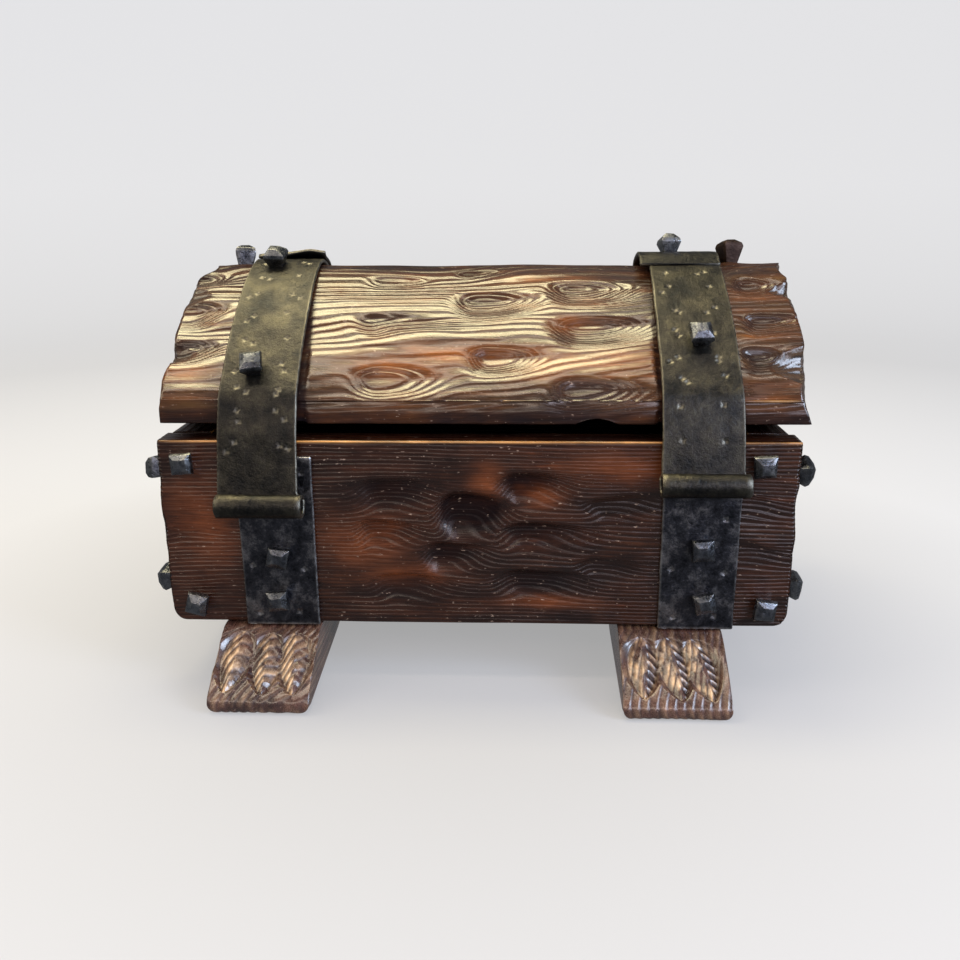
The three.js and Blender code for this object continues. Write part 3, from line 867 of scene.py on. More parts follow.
def runner_piece(name, ring_angle, tooth_depth, relief, seed, leaves):
    """A sled foot, swept across its width: its outline lies in the YZ plane."""
    low, high = node_box(name)
    middle, half = (low[0] + high[0]) / 2, (high[0] - low[0]) / 2
    loop, outward = runner_outline(high[2])
    below = np.maximum(RUNNER_ROUNDING - loop[:, 1], 0.0)
    width = half - 0.3 - RUNNER_ROUNDING + np.sqrt(np.maximum(RUNNER_ROUNDING**2 - below**2, 0.0))
    grid, normals = swept(loop, outward, middle - width, middle + width, 92)
    depth, marks = runner_carving(grid, normals, high[2], leaves, ring_angle, tooth_depth, seed)
    shallower = 1.0 - 0.7 * smoothstep(0.1, 1.0, depth - 0.6)
    surface = carve(grid, normals, depth, marks["rings"], relief * shallower)

    def flat_side(ring, side, inset):
        bulged = ring[:, 0] + side * 0.9 * smoothstep(0.0, 0.05, inset)
        return np.clip(bulged, low[0] + 0.2, high[0] - 0.2)

    def side_rings(points, side):
        wander = noise(points, (30, 60, 12), seed + (2 if side < 0 else 3))
        return points[..., 2] / 3.4 + 0.8 * wander

    insets = (0.012, 0.04, 0.12, 0.3, 0.6)
    points, marks = capped(surface, marks, (0.0, 15.0), insets, flat_side, side_rings, {})
    marks["grain"] = points[..., [1, 0, 2]]
    return skin("carved_" + name, points, marks)


# ------------------------------------------------------------------ forged straps

CLEARANCE = 0.3
BAR = 2.5
ONE_LAYER = CLEARANCE + BAR
ROLL_RADIUS = 4.9
ROLL_SWEEP = math.radians(305)

# Each front strap: name, middle along x, height where its roll starts, how far it strays, seed.
FRONT_STRAPS = [
    ("left_front_strap", -109.5, 101.0, 3.2, 101),
    ("right_front_strap", 112.5, 112.0, 0.4, 111),
]

# Each hinge strap: name, middle along x, width, depth y of its front edge, height of its lip, seed.
HINGE_STRAPS = [
    ("left_hinge_strap", -109.5, 40.0, 6.5, 5.5, 121),
    ("right_hinge_strap", 110.0, 45.0, -13.0, 0.0, 131),
]


def resampled(path, spacing):
    """An open path at an even spacing."""
    path = np.asarray(path, float)
    lengths = distances(path)
    where = np.linspace(0.0, lengths[-1], max(2, round(lengths[-1] / spacing) + 1))
    return np.stack([np.interp(where, lengths, path[:, axis]) for axis in range(path.shape[1])], -1)


def softened(path, rounds):
    """The path with its kinks eased, its ends kept."""
    path = path.copy()
    for _ in range(rounds):
        path[1:-1] = path[1:-1] * 0.5 + (path[:-2] + path[2:]) * 0.25
    return path


def curl(start, heading, radius, sweep, steps=40):
    """An arc that goes on from start along the heading, turning left for a positive sweep."""
    side = math.copysign(radius, sweep)
    centre = np.array([start[0] - side * math.sin(heading), start[1] + side * math.cos(heading)])
    first = heading - math.copysign(math.pi / 2, sweep)
    angles = first + sweep * np.arange(1, steps + 1) / steps
    return centre + radius * np.stack([np.cos(angles), np.sin(angles)], -1)


def arch_offset(from_y, to_y, distance):
    """Points over the lid at a distance from its surface, from one depth to another."""
    y = np.linspace(from_y, to_y, 200)
    rise = (arch_height(y + 0.2) - arch_height(y - 0.2)) / 0.4
    rise = np.where(np.abs(y) < 1.0, rise * np.abs(y), rise)
    normal = np.stack([-rise, np.ones_like(rise)], -1)
    normal /= np.linalg.norm(normal, axis=1)[:, None]
    away = distance(y) if callable(distance) else np.full_like(y, distance)
    return np.stack([y, SPRINGING + arch_height(y)], -1) + normal * away[:, None]


def star_dents(along, across, spots):
    """Depth of small punched stars. Each spot is (along, across, turn in radians)."""
    depth = np.zeros(along.shape)
    for place, side, turn in spots:
        u = (along - place) * math.cos(turn) + (across - side) * math.sin(turn)
        v = -(along - place) * math.sin(turn) + (across - side) * math.cos(turn)
        reach = np.hypot(u, v)
        arms = 1.15 + 0.75 * np.cos(2 * np.arctan2(v, u)) ** 2
        depth = np.maximum(depth, np.clip(1.0 - reach / arms / 1.15, 0.0, 1.0))
    return depth


def punch_spots(length, pitch, half_width, seed, first=8.0):
    """Pairs of dents down both sides of a strap, some with another dent beside them."""
    random = np.random.default_rng(seed)
    spots = []
    place = first
    while place < length - 6:
        for side in (-1, 1):
            across = side * half_width * random.uniform(0.42, 0.6)
            spots.append((place + random.uniform(-2, 2), across, random.uniform(0, 1.5)))
            if random.random() < 0.65:
                further, aside = random.uniform(2, 4.5), random.uniform(-5, 5)
                spots.append((place + further, across + aside, random.uniform(0, 1.5)))
        place += pitch * random.uniform(0.85, 1.15)
    return spots


def bar_section():
    """A bar's section, in shares of its half width and thickness: a fine face, round edges, a coarse face."""
    top = np.stack([np.linspace(-1, 1, 60), np.full(60, 0.5)], -1)
    edge = np.array([(1.0, 0.22), (1.0, -0.22)])
    bottom = np.stack([np.linspace(1, -1, 14), np.full(14, -0.5)], -1)
    return np.concatenate([top, edge, bottom, edge[::-1] * [-1, 1]])


def bar(name, path, middle_x, widths, spots, seed, drop=None, sideways=((0, 0), (1, 0)), end_wear=1.0):
    """A forged flat bar along a path in the YZ plane.

    The widths give its half width at each share of its length, and sideways how far it strays to the right.
    """
    spacing, wobble = 0.6, 0.35
    path = resampled(path, spacing)
    tangent = np.gradient(path, axis=0)
    tangent /= np.linalg.norm(tangent, axis=1)[:, None]
    normal = np.stack([-tangent[:, 1], tangent[:, 0]], -1)
    length = spacing * (len(path) - 1)
    along = np.linspace(0.0, length, len(path))
    half = np.interp(along / length, *np.array(widths).T)
    place = surface_place(along, 0.0, seed * 7.0)
    left = half - wobble + wobble * noise(place, (14, 1, 1), seed)
    right = half - wobble + wobble * noise(place, (17, 1, 1), seed + 1)

    section = bar_section()
    corner = (np.abs(section[:, 1]) > 0.4) & (np.abs(section[:, 0]) > 0.999)
    inset = np.where(corner, 0.55, 0.0)
    side = section[:, 0][None, :]
    across = side * (np.where(side > 0, right[:, None], left[:, None]) - inset)
    lift = np.broadcast_to(section[:, 1] * BAR, across.shape)
    s = np.broadcast_to(along[:, None], across.shape)
    spot = star_dents(s, across, spots) * (section[:, 1] > 0.4)
    face = surface_place(s, across, seed * 5.0)
    hammered = 0.22 * noise(face, (11, 9, 1), seed + 2) + 0.1 * noise(face, (5, 4, 1), seed + 3)
    facing = np.sign(lift)
    shift = lift + hammered * np.where(facing > 0, 1.0, 0.6) - 0.2 * facing - 0.75 * spot
    points = np.empty(across.shape + (3,))
    points[..., 0] = middle_x + across + np.interp(along / length, *np.array(sideways, float).T)[:, None]
    points[..., 1:] = path[:, None, :] + normal[:, None, :] * shift[..., None]
    if drop:
        points[..., 2] -= drop(across, s)

    rim = np.minimum(left, right)[:, None] - np.abs(across)
    side_worn = np.clip(1.0 - rim / 0.8, 0.0, 1.0)
    end_worn = end_wear * np.clip(1.0 - np.minimum(s, length - s) / 0.9, 0.0, 1.0)
    points = padded(points)
    for end, outward in ((0, -tangent[0]), (-1, tangent[-1])):
        centre = points[end].mean(0)
        points[end] = centre + (points[end] - centre) * (0.985, 0.7, 0.7)
        points[end, :, 1:] += outward * 0.35
    attributes = {
        "grain": padded(np.stack([across, s, lift], -1)),
        "edge": padded(np.maximum(side_worn, end_worn)),
        "dent": padded(spot),
    }
    return skin(name, points, attributes)


def front_strap(name, middle_x, roll_z, stray, seed):
    """A strap from the ridge to its rolled end, which strays to the right."""
    away = CLEARANCE + BAR / 2
    over = arch_offset(15.0, -LID_HALF, away)
    band = np.array([(-LID_HALF - away, SPRINGING - 2.0)])
    hang = np.array([-LID_HALF - away - 6.0, SPRINGING - 16.0])
    roll_start = np.array([hang[0] - (hang[1] - roll_z) * 0.25, roll_z])
    heading = math.atan2(roll_start[1] - hang[1], roll_start[0] - hang[0])
    straight = softened(resampled(np.concatenate([over, band, [hang], [roll_start]]), 0.6), 40)
    path = np.concatenate([straight, curl(roll_start, heading, ROLL_RADIUS, -ROLL_SWEEP)])
    total = distances(path)[-1]
    roll = (ROLL_RADIUS * ROLL_SWEEP + 3.0) / total
    widths = [(0, 22.0), (roll, 22.0), (roll + 0.015, 20.6), (0.65, 20), (1, 19.3)]
    sideways = [(0, stray), (roll, stray), (roll + 0.015, 0.3 * stray), (0.65, 0), (1, 0)]
    spots = [(total - place, across, turn) for place, across, turn in punch_spots(total - 40, 15.5, 20, seed)]
    return bar(name, path[::-1], middle_x, widths, spots, seed, sideways=sideways)


def hinge_strap(name, middle_x, width, front_edge, turned_up, seed):
    """A strap from the ridge to its eye at the back. Its front is turned up, or feathered if that is 0."""
    low = CLEARANCE + BAR / 2
    high = low + ONE_LAYER

    def distance(y):
        feathered = 0.0 if turned_up else 1.7 * smoothstep(front_edge + 9.0, front_edge, y)
        return high + (low - high) * smoothstep(15.0, 24.0, y) - feathered

    def uneven_lip(across, along):
        """The turned-up end stands high on the right and is beaten down on the left."""
        beaten = 0.42 + 0.5 * smoothstep(3.0, -9.0, across) + 0.14 * np.cos(across / 3.3)
        return (turned_up - 1.0) * beaten * smoothstep(turned_up + 2.0, 0.0, along)

    over = arch_offset(front_edge, LID_HALF, distance)
    lip = np.empty((0, 2))
    if turned_up:
        lip = over[0] + [(-3.2, turned_up), (-2.6, turned_up * 0.6), (-1.6, 2.6)]
    axis_y, axis_z = 100.6, 134.5
    eye_radius, eye_sweep = 2.5 + low, math.radians(300)
    to_eye = np.array([axis_y - eye_radius, axis_z + 4.0])
    eye_start = np.array([axis_y - eye_radius, axis_z])
    bends = np.concatenate([lip, over, [over[-1] - (0.0, 2.0)], [to_eye], [eye_start]])
    straight = softened(resampled(bends, 0.6), 8)
    path = np.concatenate([straight, curl(eye_start, -math.pi / 2, eye_radius, eye_sweep)])
    total = distances(path)[-1]
    narrow = (total - eye_radius * eye_sweep - 14.0) / total
    half, finger = width / 2 - 0.2, 6.9
    widths = [(0, half), (narrow - 0.012, half), (narrow, finger), (1, finger)]
    spots = punch_spots(total - 40, 16.0, half, seed, first=12.0 if turned_up else 14.0)
    drop, end_wear = (uneven_lip, 1.0) if turned_up else (None, 0.0)
    return bar(name, path, middle_x, widths, spots, seed, drop=drop, end_wear=end_wear)


def front_plate(name, seed):
    """An iron plate nailed upright on the front board."""
    low, high = node_box(name)
    middle_y = (low[1] + high[1]) / 2
    path = [(middle_y, low[2]), (middle_y, high[2])]
    half = (high[0] - low[0]) / 2
    length = high[2] - low[2]
    spots = [(6, -12, 0.3), (7, 9, 0.9), (33, -14, 0.2), (60, 12, 0.7), (31, 13, 0.1), (length - 8, 14, 0.5)]
    return bar(name + "_forged", path, (low[0] + high[0]) / 2, [(0, half - 0.3), (1, half)], spots, seed)


# ------------------------------------------------------------------ copies of CAD shapes


def forged_head(places, seed, sink):
    """Moves a nail's points: the top of its head pushed off centre, its neck driven into the wood."""
    random = np.random.default_rng(seed)
    centre = places.mean(0)
    axis = np.linalg.svd(places - centre)[2][0]
    height = (places - centre) @ axis
    out = places - centre - height[:, None] * axis
    radius = np.linalg.norm(out, axis=1)
    if height[np.argmax(radius)] < 0:
        axis, height = -axis, -height
    top = height.max()
    places = places.copy()
    crown = (height > top - 0.2) & (radius > 0.5)
    lean = np.cross(axis, random.normal(size=3))
    lean = lean / np.linalg.norm(lean) * random.uniform(0.2, 1.1)
    places[crown] += out[crown] * random.uniform(-0.15, 0.1) + lean
    places[height > top - 0.2] -= axis * random.uniform(0.3, 1.1)
    neck = (height > top - 12.0) & (height < top - 2.5) & (radius > 4.0) & (radius < 5.4)
    places[neck] -= axis * sink
    uneven = np.stack([noise(places, 4.7, seed * 13 + side) for side in range(3)], -1)
    return places + uneven * np.where(height > top - 8.0, 0.5, 0.1)[:, None]


def bevelled_copy(source, width, seed, sink=None, subdivide=0):
    """A copy of a CAD node with worn edges. With sink it is a nail, which gets an uneven, hammered head."""
    work = bmesh.new()
    work.from_mesh(nodes[source].data)
    bmesh.ops.remove_doubles(work, verts=work.verts, dist=1e-6)
    bmesh.ops.dissolve_limit(work, angle_limit=0.01, verts=work.verts, edges=work.edges)
    if sink is not None:
        places = np.array([vertex.co[:] for vertex in work.verts]) / MM
        for vertex, moved in zip(work.verts, forged_head(places, seed, sink)):
            vertex.co = Vector(moved * MM)
    sharp = [edge for edge in work.edges if edge.calc_face_angle(0.0) > 0.3]
    bevel = dict(offset=width * MM, segments=2, profile=0.6, affect="EDGES", clamp_overlap=True)
    bmesh.ops.bevel(work, geom=sharp, **bevel)
    bmesh.ops.triangulate(work, faces=[face for face in work.faces if len(face.verts) > 4])
    if subdivide:
        bmesh.ops.subdivide_edges(work, edges=work.edges[:], cuts=subdivide, use_grid_fill=True)
    mesh = bpy.data.meshes.new(source + "_forged")
    work.to_mesh(mesh)
    work.free()
    shade_smooth(mesh)
    mesh.set_sharp_from_angle(angle=math.radians(24))
    return linked(source + "_forged", mesh)


# ------------------------------------------------------------------ materials


def plug(tree, node, inputs):
    """Links a node's inputs to sockets, or sets them to numbers and colours."""
    for key, value in inputs.items():
        if isinstance(value, bpy.types.NodeSocket):
            tree.links.new(value, node.inputs[key])
        else:
            node.inputs[key].default_value = value


def shader(tree, kind, inputs=None, **settings):
    """A shader node with its settings, and its inputs linked or set."""
    made = tree.nodes.new("ShaderNode" + kind)
    for key, value in settings.items():
        setattr(made, key, value)
    plug(tree, made, inputs or {})
    return made


def ramp(tree, factor, stops):
    """A colour ramp from (position, colour) stops."""
    made = shader(tree, "ValToRGB", {0: factor})
    elements = made.color_ramp.elements
    while len(elements) < len(stops):
        elements.new(0.5)
    for element, (position, colour) in zip(elements, stops):
        element.position = position
        grey = (colour,) * 3 if isinstance(colour, (int, float)) else colour
        element.color = (*grey, 1.0)
    return made.outputs["Color"]


def mixed(tree, factor, first, second, blend="MIX"):
    """The second colour over the first. The factor and the two colours are inputs 0, 6 and 7 of the node."""
    first, second = ((*colour, 1.0) if isinstance(colour, tuple) else colour for colour in (first, second))
    inputs = {0: factor, 6: first, 7: second}
    return shader(tree, "Mix", inputs, data_type="RGBA", blend_type=blend).outputs[2]


def math_node(tree, operation, first, second=0.0, clamp=False):
    """The result of one arithmetic operation on sockets or numbers."""
    return shader(tree, "Math", {0: first, 1: second}, operation=operation, use_clamp=clamp).outputs[0]


def times(tree, first, *others):
    """The product of sockets and numbers."""
    for other in others:
        first = math_node(tree, "MULTIPLY", first, other)
    return first


def attribute(tree, name, output="Fac"):
    """One of the marks that a mesh carries at its points."""
    return shader(tree, "Attribute", attribute_name=name, attribute_type="GEOMETRY").outputs[output]


def stretched_noise(tree, place, stretch, scale, detail=3.0, roughness=0.55):
    """Noise over a place in mm, stretched per axis."""
    scaled = shader(tree, "VectorMath", {0: place, 1: stretch}, operation="MULTIPLY").outputs[0]
    settings = {"Vector": scaled, "Scale": scale, "Detail": detail, "Roughness": roughness}
    return shader(tree, "TexNoise", settings).outputs["Fac"]


def bump(tree, height, strength, distance, under=None):
    """The normal over a height, whose full range is the distance in mm, on top of another normal."""
    inputs = {"Strength": strength, "Distance": distance * MM, "Height": height}
    if under is not None:
        inputs["Normal"] = under
    return shader(tree, "Bump", inputs).outputs[0]


def new_material(name):
    """A material, its node tree and its surface node."""
    material = bpy.data.materials.new(name)
    material.use_nodes = True
    tree = material.node_tree
    return material, tree, tree.nodes["Principled BSDF"]


def wood_material(name, tones, char_tone, worn_and_highlight_tone, rub_tone, ring_bump, contrast, gloss, shine, wear_share):
    """Scorched, brushed and varnished pine. The tones run from its darkest to its warmest."""
    material, tree, surface = new_material(name)
    place = attribute(tree, "grain", "Vector")
    char, end = attribute(tree, "char"), attribute(tree, "end")

    part = math_node(tree, "FRACT", attribute(tree, "rings"))
    profile = ramp(tree, part, [(0.0, 0.0), (0.3, 0.45), (0.62, 0.94), (0.72, 1.0), (0.9, 0.22), (1.0, 0.0)])
    line = ramp(tree, part, [(0.0, 0.45), (0.09, 0.0), (0.8, 0.0), (0.91, 1.0), (1.0, 0.6)])
    fibres = stretched_noise(tree, place, (0.035, 1.0, 1.0), 1.5, 4.0)
    streaks = stretched_noise(tree, place, (0.012, 0.22, 0.22), 1.0, 3.0)
    patches = stretched_noise(tree, place, (0.022, 0.04, 0.04), 1.0, 4.0, 0.6)
    blotches = stretched_noise(tree, place, (0.05, 0.11, 0.11), 1.0, 3.0, 0.6)

    # The grown colour: tones in patches and streaks, warm places, ring lines and fibres.
    tone = mixed(tree, 0.45, patches, streaks)
    base = ramp(tree, tone, list(zip((0.30, 0.48, 0.62, 0.72), tones)))
    warmed = times(tree, attribute(tree, "warm"), ramp(tree, blotches, [(0.3, 0.35), (0.65, 1.0)]))
    base = mixed(tree, warmed, base, tones[3])
    strength = ramp(tree, patches, [(0.4, 0.1 * contrast), (0.62, contrast)])
    base = mixed(tree, times(tree, line, strength), base, tones[0])
    fibre_shade = ramp(tree, fibres, [(0.3, 0.55), (0.55, 1.0), (0.75, 1.5)])
    base = mixed(tree, 1.0, base, fibre_shade, "MULTIPLY")

    # What happened to it: worn ring tops, scorched cuts, rubbed edges, with painted highlights on lit leaf
    # flanks and upper edges, and painted shade on steep cut walls, strap beds and notches.
    worn_and_highlit = times(tree, attribute(tree, "wear"), ramp(tree, blotches, [(0.42, 0.0), (0.68, 1.0)]), profile)
    worn_and_highlit = math_node(tree, "MULTIPLY", worn_and_highlit, wear_share, clamp=True)
    base = mixed(tree, worn_and_highlit, base, worn_and_highlight_tone)
    scorch_and_shade = math_node(tree, "MULTIPLY", char, ramp(tree, blotches, [(0.3, 1.0), (0.7, 0.45)]), clamp=True)
    base = mixed(tree, scorch_and_shade, base, char_tone)
    polished_and_highlit = times(tree, attribute(tree, "rub"), ramp(tree, patches, [(0.38, 0.1), (0.6, 1.0)]))
    base = mixed(tree, polished_and_highlit, base, rub_tone)

    # End grain with its pores, and a few pale nicks all over.
    pores = shader(tree, "TexVoronoi", {"Vector": place, "Scale": 1.6}, feature="F1").outputs["Distance"]
    porous = ramp(tree, pores, [(0.1, (0.020, 0.013, 0.009)), (0.7, (0.075, 0.047, 0.030))])
    base = mixed(tree, end, base, mixed(tree, 0.55, base, porous))
    base = mixed(tree, times(tree, line, end, 0.85), base, tones[0])
    specks = stretched_noise(tree, place, (0.4, 1.0, 1.0), 0.75, 2.0, 0.7)
    nicked = times(tree, ramp(tree, specks, [(0.68, 0.0), (0.71, 1.0)]), 0.9, patches)
    base = mixed(tree, nicked, base, (0.42, 0.30, 0.23))

    dull = math_node(tree, "ADD", fibres, times(tree, line, 0.25))
    rough = ramp(tree, dull, [(0.3, gloss), (0.9, gloss + 0.22)])
    varnished = ramp(tree, char, [(0.0, shine), (0.45, 0.8 * shine), (0.9, 0.08)])

    brushed = times(tree, profile, ramp(tree, patches, [(0.38, 0.3), (0.6, 1.0)]))
    normal = bump(tree, brushed, 1.0, ring_bump)
    normal = bump(tree, fibres, 0.8, 0.10, normal)
    normal = bump(tree, blotches, 0.6, 0.5, normal)
    plug(tree, surface, {
        "Base Color": base,
        "Roughness": rough,
        "Specular IOR Level": varnished,
        "Coat Weight": times(tree, varnished, 0.6),
        "Coat Roughness": gloss - 0.06,
        "Normal": normal,
    })
    return material


def steel_material(name, dark, mid, light, edge_tone, roughness, from_object):
    """Forge-blackened steel: scale in patches, hammer marks, rubbed edges."""
    material, tree, surface = new_material(name)
    if from_object:
        metres = shader(tree, "TexCoord").outputs["Object"]
        place = shader(tree, "VectorMath", {0: metres, 1: (1000.0,) * 3}, operation="MULTIPLY").outputs[0]
        bent = shader(tree, "NewGeometry").outputs["Pointiness"]
        rubbed = ramp(tree, bent, [(0.505, 0.0), (0.56, 1.0)])
    else:
        place = attribute(tree, "grain", "Vector")
        rim = ramp(tree, attribute(tree, "dent"), [(0.0, 0.0), (0.3, 0.45), (0.7, 0.35), (1.0, 0.1)])
        rubbed = math_node(tree, "MAXIMUM", attribute(tree, "edge"), rim)
    patches = stretched_noise(tree, place, (1, 1, 1), 0.06, 4.0, 0.6)
    mottle = stretched_noise(tree, place, (1, 1, 1), 0.35, 5.0, 0.65)
    specks = stretched_noise(tree, place, (1, 1, 1), 1.4, 3.0, 0.7)
    base = ramp(tree, mixed(tree, 0.3, patches, mottle), [(0.36, dark), (0.5, mid), (0.66, light)])
    speckle = ramp(tree, specks, [(0.35, 0.8), (0.6, 1.0), (0.78, 1.4)])
    base = mixed(tree, 1.0, base, speckle, "MULTIPLY")
    rubbed = math_node(tree, "MULTIPLY", rubbed, ramp(tree, mottle, [(0.3, 0.35), (0.6, 1.0)]), clamp=True)
    plug(tree, surface, {
        "Base Color": mixed(tree, rubbed, base, edge_tone),
        "Metallic": 1.0,
        "Roughness": ramp(tree, mottle, [(0.3, roughness - 0.08), (0.7, roughness + 0.16)]),
        "Normal": bump(tree, specks, 0.5, 0.06, bump(tree, mottle, 0.7, 0.6)),
    })
    return material


def backdrop_material():
    """Pale paper that glows a little, more so at the wall, so that it looks evenly lit."""
    material, tree, surface = new_material("backdrop")
    place = shader(tree, "TexCoord").outputs["Object"]
    flat = shader(tree, "VectorMath", {0: place, 1: (1.0, 1.0, 0.0)}, operation="MULTIPLY").outputs[0]
    away = shader(tree, "VectorMath", {0: flat}, operation="LENGTH").outputs["Value"]
    share = math_node(tree, "DIVIDE", away, 2.4)
    glow = ramp(tree, share, [(0.06, 0.36), (0.17, 0.53), (0.45, 0.46), (0.85, 0.61)])
    plug(tree, surface, {
        "Emission Color": glow,
        "Emission Strength": 1.0,
        "Base Color": (0.195, 0.195, 0.213, 1.0),
        "Roughness": 0.9,
        "Specular IOR Level": 0.1,
    })
    return material


# ------------------------------------------------------------------ camera, floor and light


def photo_camera():
    """The viewing position and direction that the object was seen from."""
    yaw, pitch, roll = (math.radians(angle) for angle in (-2.631, 16.734, 0.457))
    forward = np.array([math.sin(yaw) * math.cos(pitch), math.cos(yaw) * math.cos(pitch), -math.sin(pitch)])
    level_right = np.array([math.cos(yaw), -math.sin(yaw), 0.0])
    level_down = np.cross(forward, level_right)
    right = math.cos(roll) * level_right + math.sin(roll) * level_down
    down = math.cos(roll) * level_down - math.sin(roll) * level_right
    turned = Matrix([right, -down, -forward]).transposed().to_4x4()
    data = bpy.data.cameras.new("camera")
    data.sensor_width = 36.0
    data.lens = 35.625
    data.clip_start = 0.01
    data.clip_end = 50.0
    camera = linked("camera", data)
    camera.matrix_world = Matrix.Translation(Vector((0.02366, -0.55286, 0.24951))) @ turned
    bpy.context.scene.camera = camera


def backdrop():
    """A pale round floor that curves up into a wall all the way round."""
    radius, bend, wall, around = 2300.0, 900.0, 1500.0, 96
    profile = [(0.001, 0.0), (400.0, 0.0), (900.0, 0.0), (radius - bend, 0.0)]
    for step in range(1, 17):
        angle = math.pi / 2 * step / 16
        profile.append((radius - bend + bend * math.sin(angle), bend - bend * math.cos(angle)))
    profile.append((radius, bend + wall))
    angles = np.linspace(0, 2 * math.pi, around, endpoint=False)
    grid = np.array([[(r * math.cos(a), r * math.sin(a), z) for a in angles] for r, z in profile])
    quads = loop_quads(len(profile), around)[1]
    floor = mesh_object("floor", grid.reshape(-1, 3), [quads], {})
    floor.data.materials.append(backdrop_material())
    floor.visible_glossy = False


def softbox(name, place, target, size, power, colour):
    """An area light at a place, facing the target. Sizes and places are in metres."""
    data = bpy.data.lights.new(name, "AREA")
    data.shape = "RECTANGLE"
    data.size, data.size_y = size
    data.energy = power
    data.color = colour
    light = linked(name, data)
    light.location = place
    light.rotation_euler = (Vector(target) - Vector(place)).to_track_quat("-Z", "Y").to_euler()


def lighting():
    """Soft studio light: two lights over the lid, and weaker ones around the front."""
    centre = (0.0, 0.0, 0.12)
    softbox("overhead", (-0.25, 0.245, 1.15), (-0.25, 0.245, 0.0), (0.80, 0.36), 13.2, (1.0, 0.88, 0.53))
    softbox("ceiling", (-0.3, -0.20, 1.15), (-0.3, -0.20, 0.0), (1.6, 0.15), 5.0, (1.0, 0.86, 0.70))
    softbox("window", (1.3, -0.7, 0.8), centre, (0.6, 0.9), 24.0, (0.68, 0.80, 1.0))
    softbox("lamp", (-0.5, -1.3, 0.95), centre, (1.2, 0.2), 4.0, (1.0, 0.84, 0.70))
    softbox("sky", (0.65, -1.25, 0.64), centre, (0.8, 0.3), 4.4, (0.92, 0.86, 1.0))
    softbox("doorway", (-1.2, -0.35, 0.85), centre, (0.6, 0.7), 5.5, (1.0, 0.88, 0.64))
    world = bpy.data.worlds.new("surroundings")
    world.use_nodes = True
    sky = world.node_tree.nodes["Background"]
    plug(world.node_tree, sky, {"Color": (0.94, 0.96, 1.0, 1.0), "Strength": 0.17})
    bpy.context.scene.world = world
    bpy.context.scene.view_settings.view_transform = "Standard"


# ------------------------------------------------------------------ assembly


def woods():
    """The three woods: the tones run from darkest to warmest."""
    lid = wood_material(
        "lid_wood",
        tones=[(0.010, 0.005, 0.003), (0.040, 0.014, 0.005), (0.095, 0.030, 0.007), (0.24, 0.070, 0.011)],
        char_tone=(0.008, 0.006, 0.008), worn_and_highlight_tone=(0.115, 0.055, 0.015), rub_tone=(0.4, 0.22, 0.08),
        ring_bump=0.16, contrast=0.18, gloss=0.17, shine=0.60, wear_share=0.7,
    )
    box = wood_material(
        "box_wood",
        tones=[(0.005, 0.002, 0.002), (0.015, 0.0045, 0.0025), (0.036, 0.009, 0.003), (0.15, 0.036, 0.007)],
        char_tone=(0.006, 0.004, 0.005), worn_and_highlight_tone=(0.085, 0.026, 0.009), rub_tone=(0.75, 0.36, 0.11),
        ring_bump=0.26, contrast=0.30, gloss=0.20, shine=0.46, wear_share=0.6,
    )
    # The runners' pale worn tone is mostly a painted highlight on the lit flanks of their leaves.
    runner = wood_material(
        "runner_wood",
        tones=[(0.014, 0.007, 0.007), (0.06, 0.026, 0.020), (0.12, 0.055, 0.040), (0.26, 0.12, 0.065)],
        char_tone=(0.012, 0.009, 0.011), worn_and_highlight_tone=(0.80, 0.52, 0.30), rub_tone=(0.4, 0.25, 0.12),
        ring_bump=0.14, contrast=0.45, gloss=0.2, shine=0.8, wear_share=1.0,
    )
    return lid, box, runner


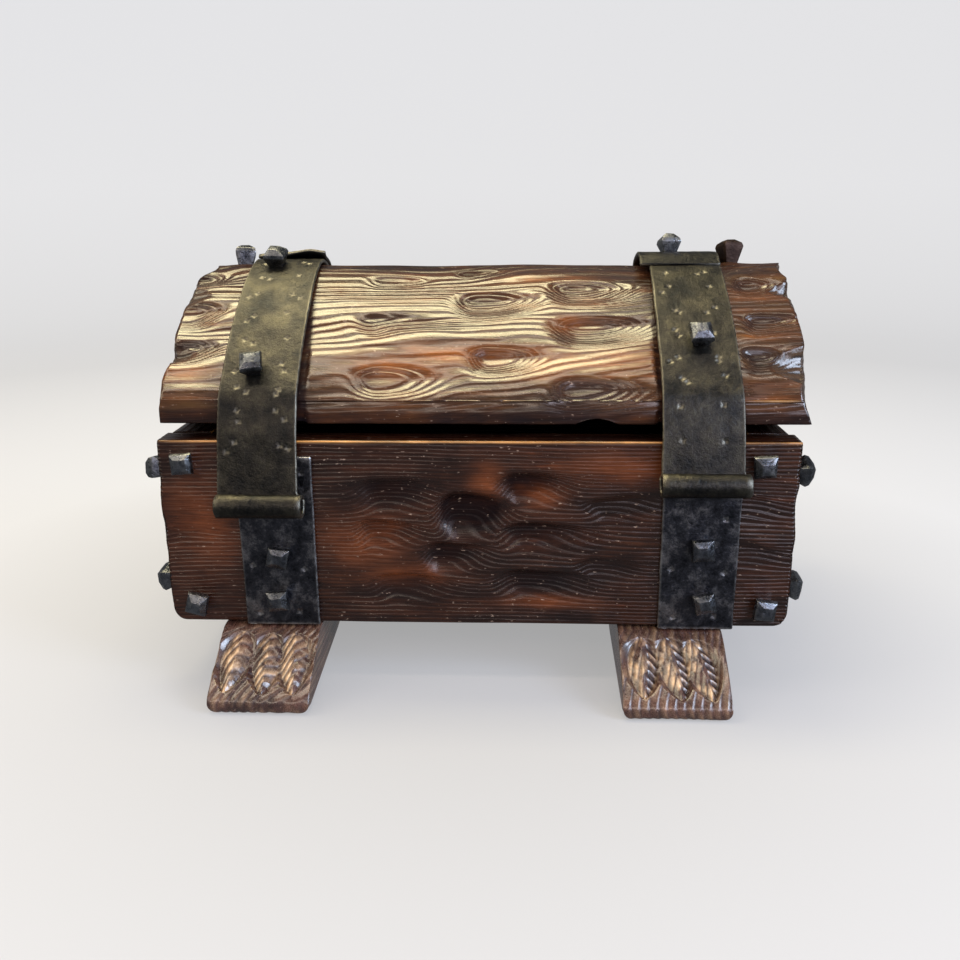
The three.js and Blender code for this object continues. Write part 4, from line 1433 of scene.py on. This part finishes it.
# Each steel: name, dark, mid, light and edge tone, roughness, and whether it is on a copy of a CAD shape.
STEELS = {
    "strap": (
        "blackened_steel",
        (0.020, 0.021, 0.023), (0.044, 0.042, 0.038), (0.085, 0.079, 0.061), (0.30, 0.28, 0.23), 0.36, False,
    ),
    # A darker copy of the strap steel, as painted shade on the hinge straps that face away from the light.
    "lapped_painted_shade": (
        "blackened_steel_lap_painted_shade",
        (0.016, 0.017, 0.020), (0.030, 0.030, 0.030), (0.055, 0.053, 0.047), (0.22, 0.21, 0.18), 0.40, False,
    ),
    "leaf": (
        "blackened_steel_hinge",
        (0.022, 0.023, 0.025), (0.050, 0.048, 0.042), (0.095, 0.088, 0.066), (0.30, 0.28, 0.23), 0.38, True,
    ),
    "plate": (
        "blackened_steel_plate",
        (0.018, 0.020, 0.026), (0.075, 0.077, 0.092), (0.34, 0.33, 0.34), (0.50, 0.50, 0.51), 0.32, False,
    ),
    "nail": (
        "worn_steel",
        (0.045, 0.050, 0.064), (0.125, 0.135, 0.16), (0.28, 0.29, 0.31), (0.62, 0.63, 0.62), 0.26, True,
    ),
    "rusty": (
        "rusty_steel",
        (0.022, 0.014, 0.012), (0.045, 0.028, 0.023), (0.075, 0.048, 0.040), (0.14, 0.09, 0.07), 0.5, True,
    ),
}


def stand_in(piece, node, body, material):
    """Puts a finished piece in the place of a CAD node."""
    piece.data.materials.clear()
    piece.data.materials.append(material)
    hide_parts(node)
    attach(piece, body)


def wooden_pieces():
    """The lid, the boards and the runners."""
    lid_wood, box_wood, runner_wood = woods()
    stand_in(lid_piece(), "lid", "lid", lid_wood)
    for piece, node in boards():
        stand_in(piece, node, "box", box_wood)
    for runner in RUNNERS:
        stand_in(runner_piece(*runner), runner[0], "box", runner_wood)


def steel_pieces():
    """The straps, the plates, the hinges and the nails."""
    steel = {key: steel_material(*tones) for key, tones in STEELS.items()}
    for name, *shape in FRONT_STRAPS:
        stand_in(front_strap(name + "_forged", *shape), name, "lid", steel["strap"])
    for name, *shape in HINGE_STRAPS:
        # The hinge straps take the darker steel copy as painted shade.
        stand_in(hinge_strap(name + "_forged", *shape), name, "lid", steel["lapped_painted_shade"])
    for side, seed in (("left", 141), ("right", 151)):
        name = side + "_front_plate"
        stand_in(front_plate(name, seed), name, "box", steel["plate"])
        name = side + "_hinge_leaf"
        leaf = bevelled_copy(name, 0.5, seed)
        stand_in(leaf, name, "box", steel["leaf"])
        name = side + "_hinge_pin"
        stand_in(bevelled_copy(name, 0.35, seed), name, "box", steel["nail"])
    for order, name in enumerate(sorted(name for name in nodes if "_nail" in name), start=1):
        sink = 5.0 if "outer_ridge" in name else 1.2
        nail = bevelled_copy(name, 0.32, order, sink, subdivide=2)
        kind = "rusty" if name == "right_outer_ridge_nail" else "nail"
        stand_in(nail, name, nodes[name]["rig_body"], steel[kind])


def assemble():
    """Every piece, in the place of its CAD node."""
    wooden_pieces()
    steel_pieces()


photo_camera()
backdrop()
lighting()
assemble()
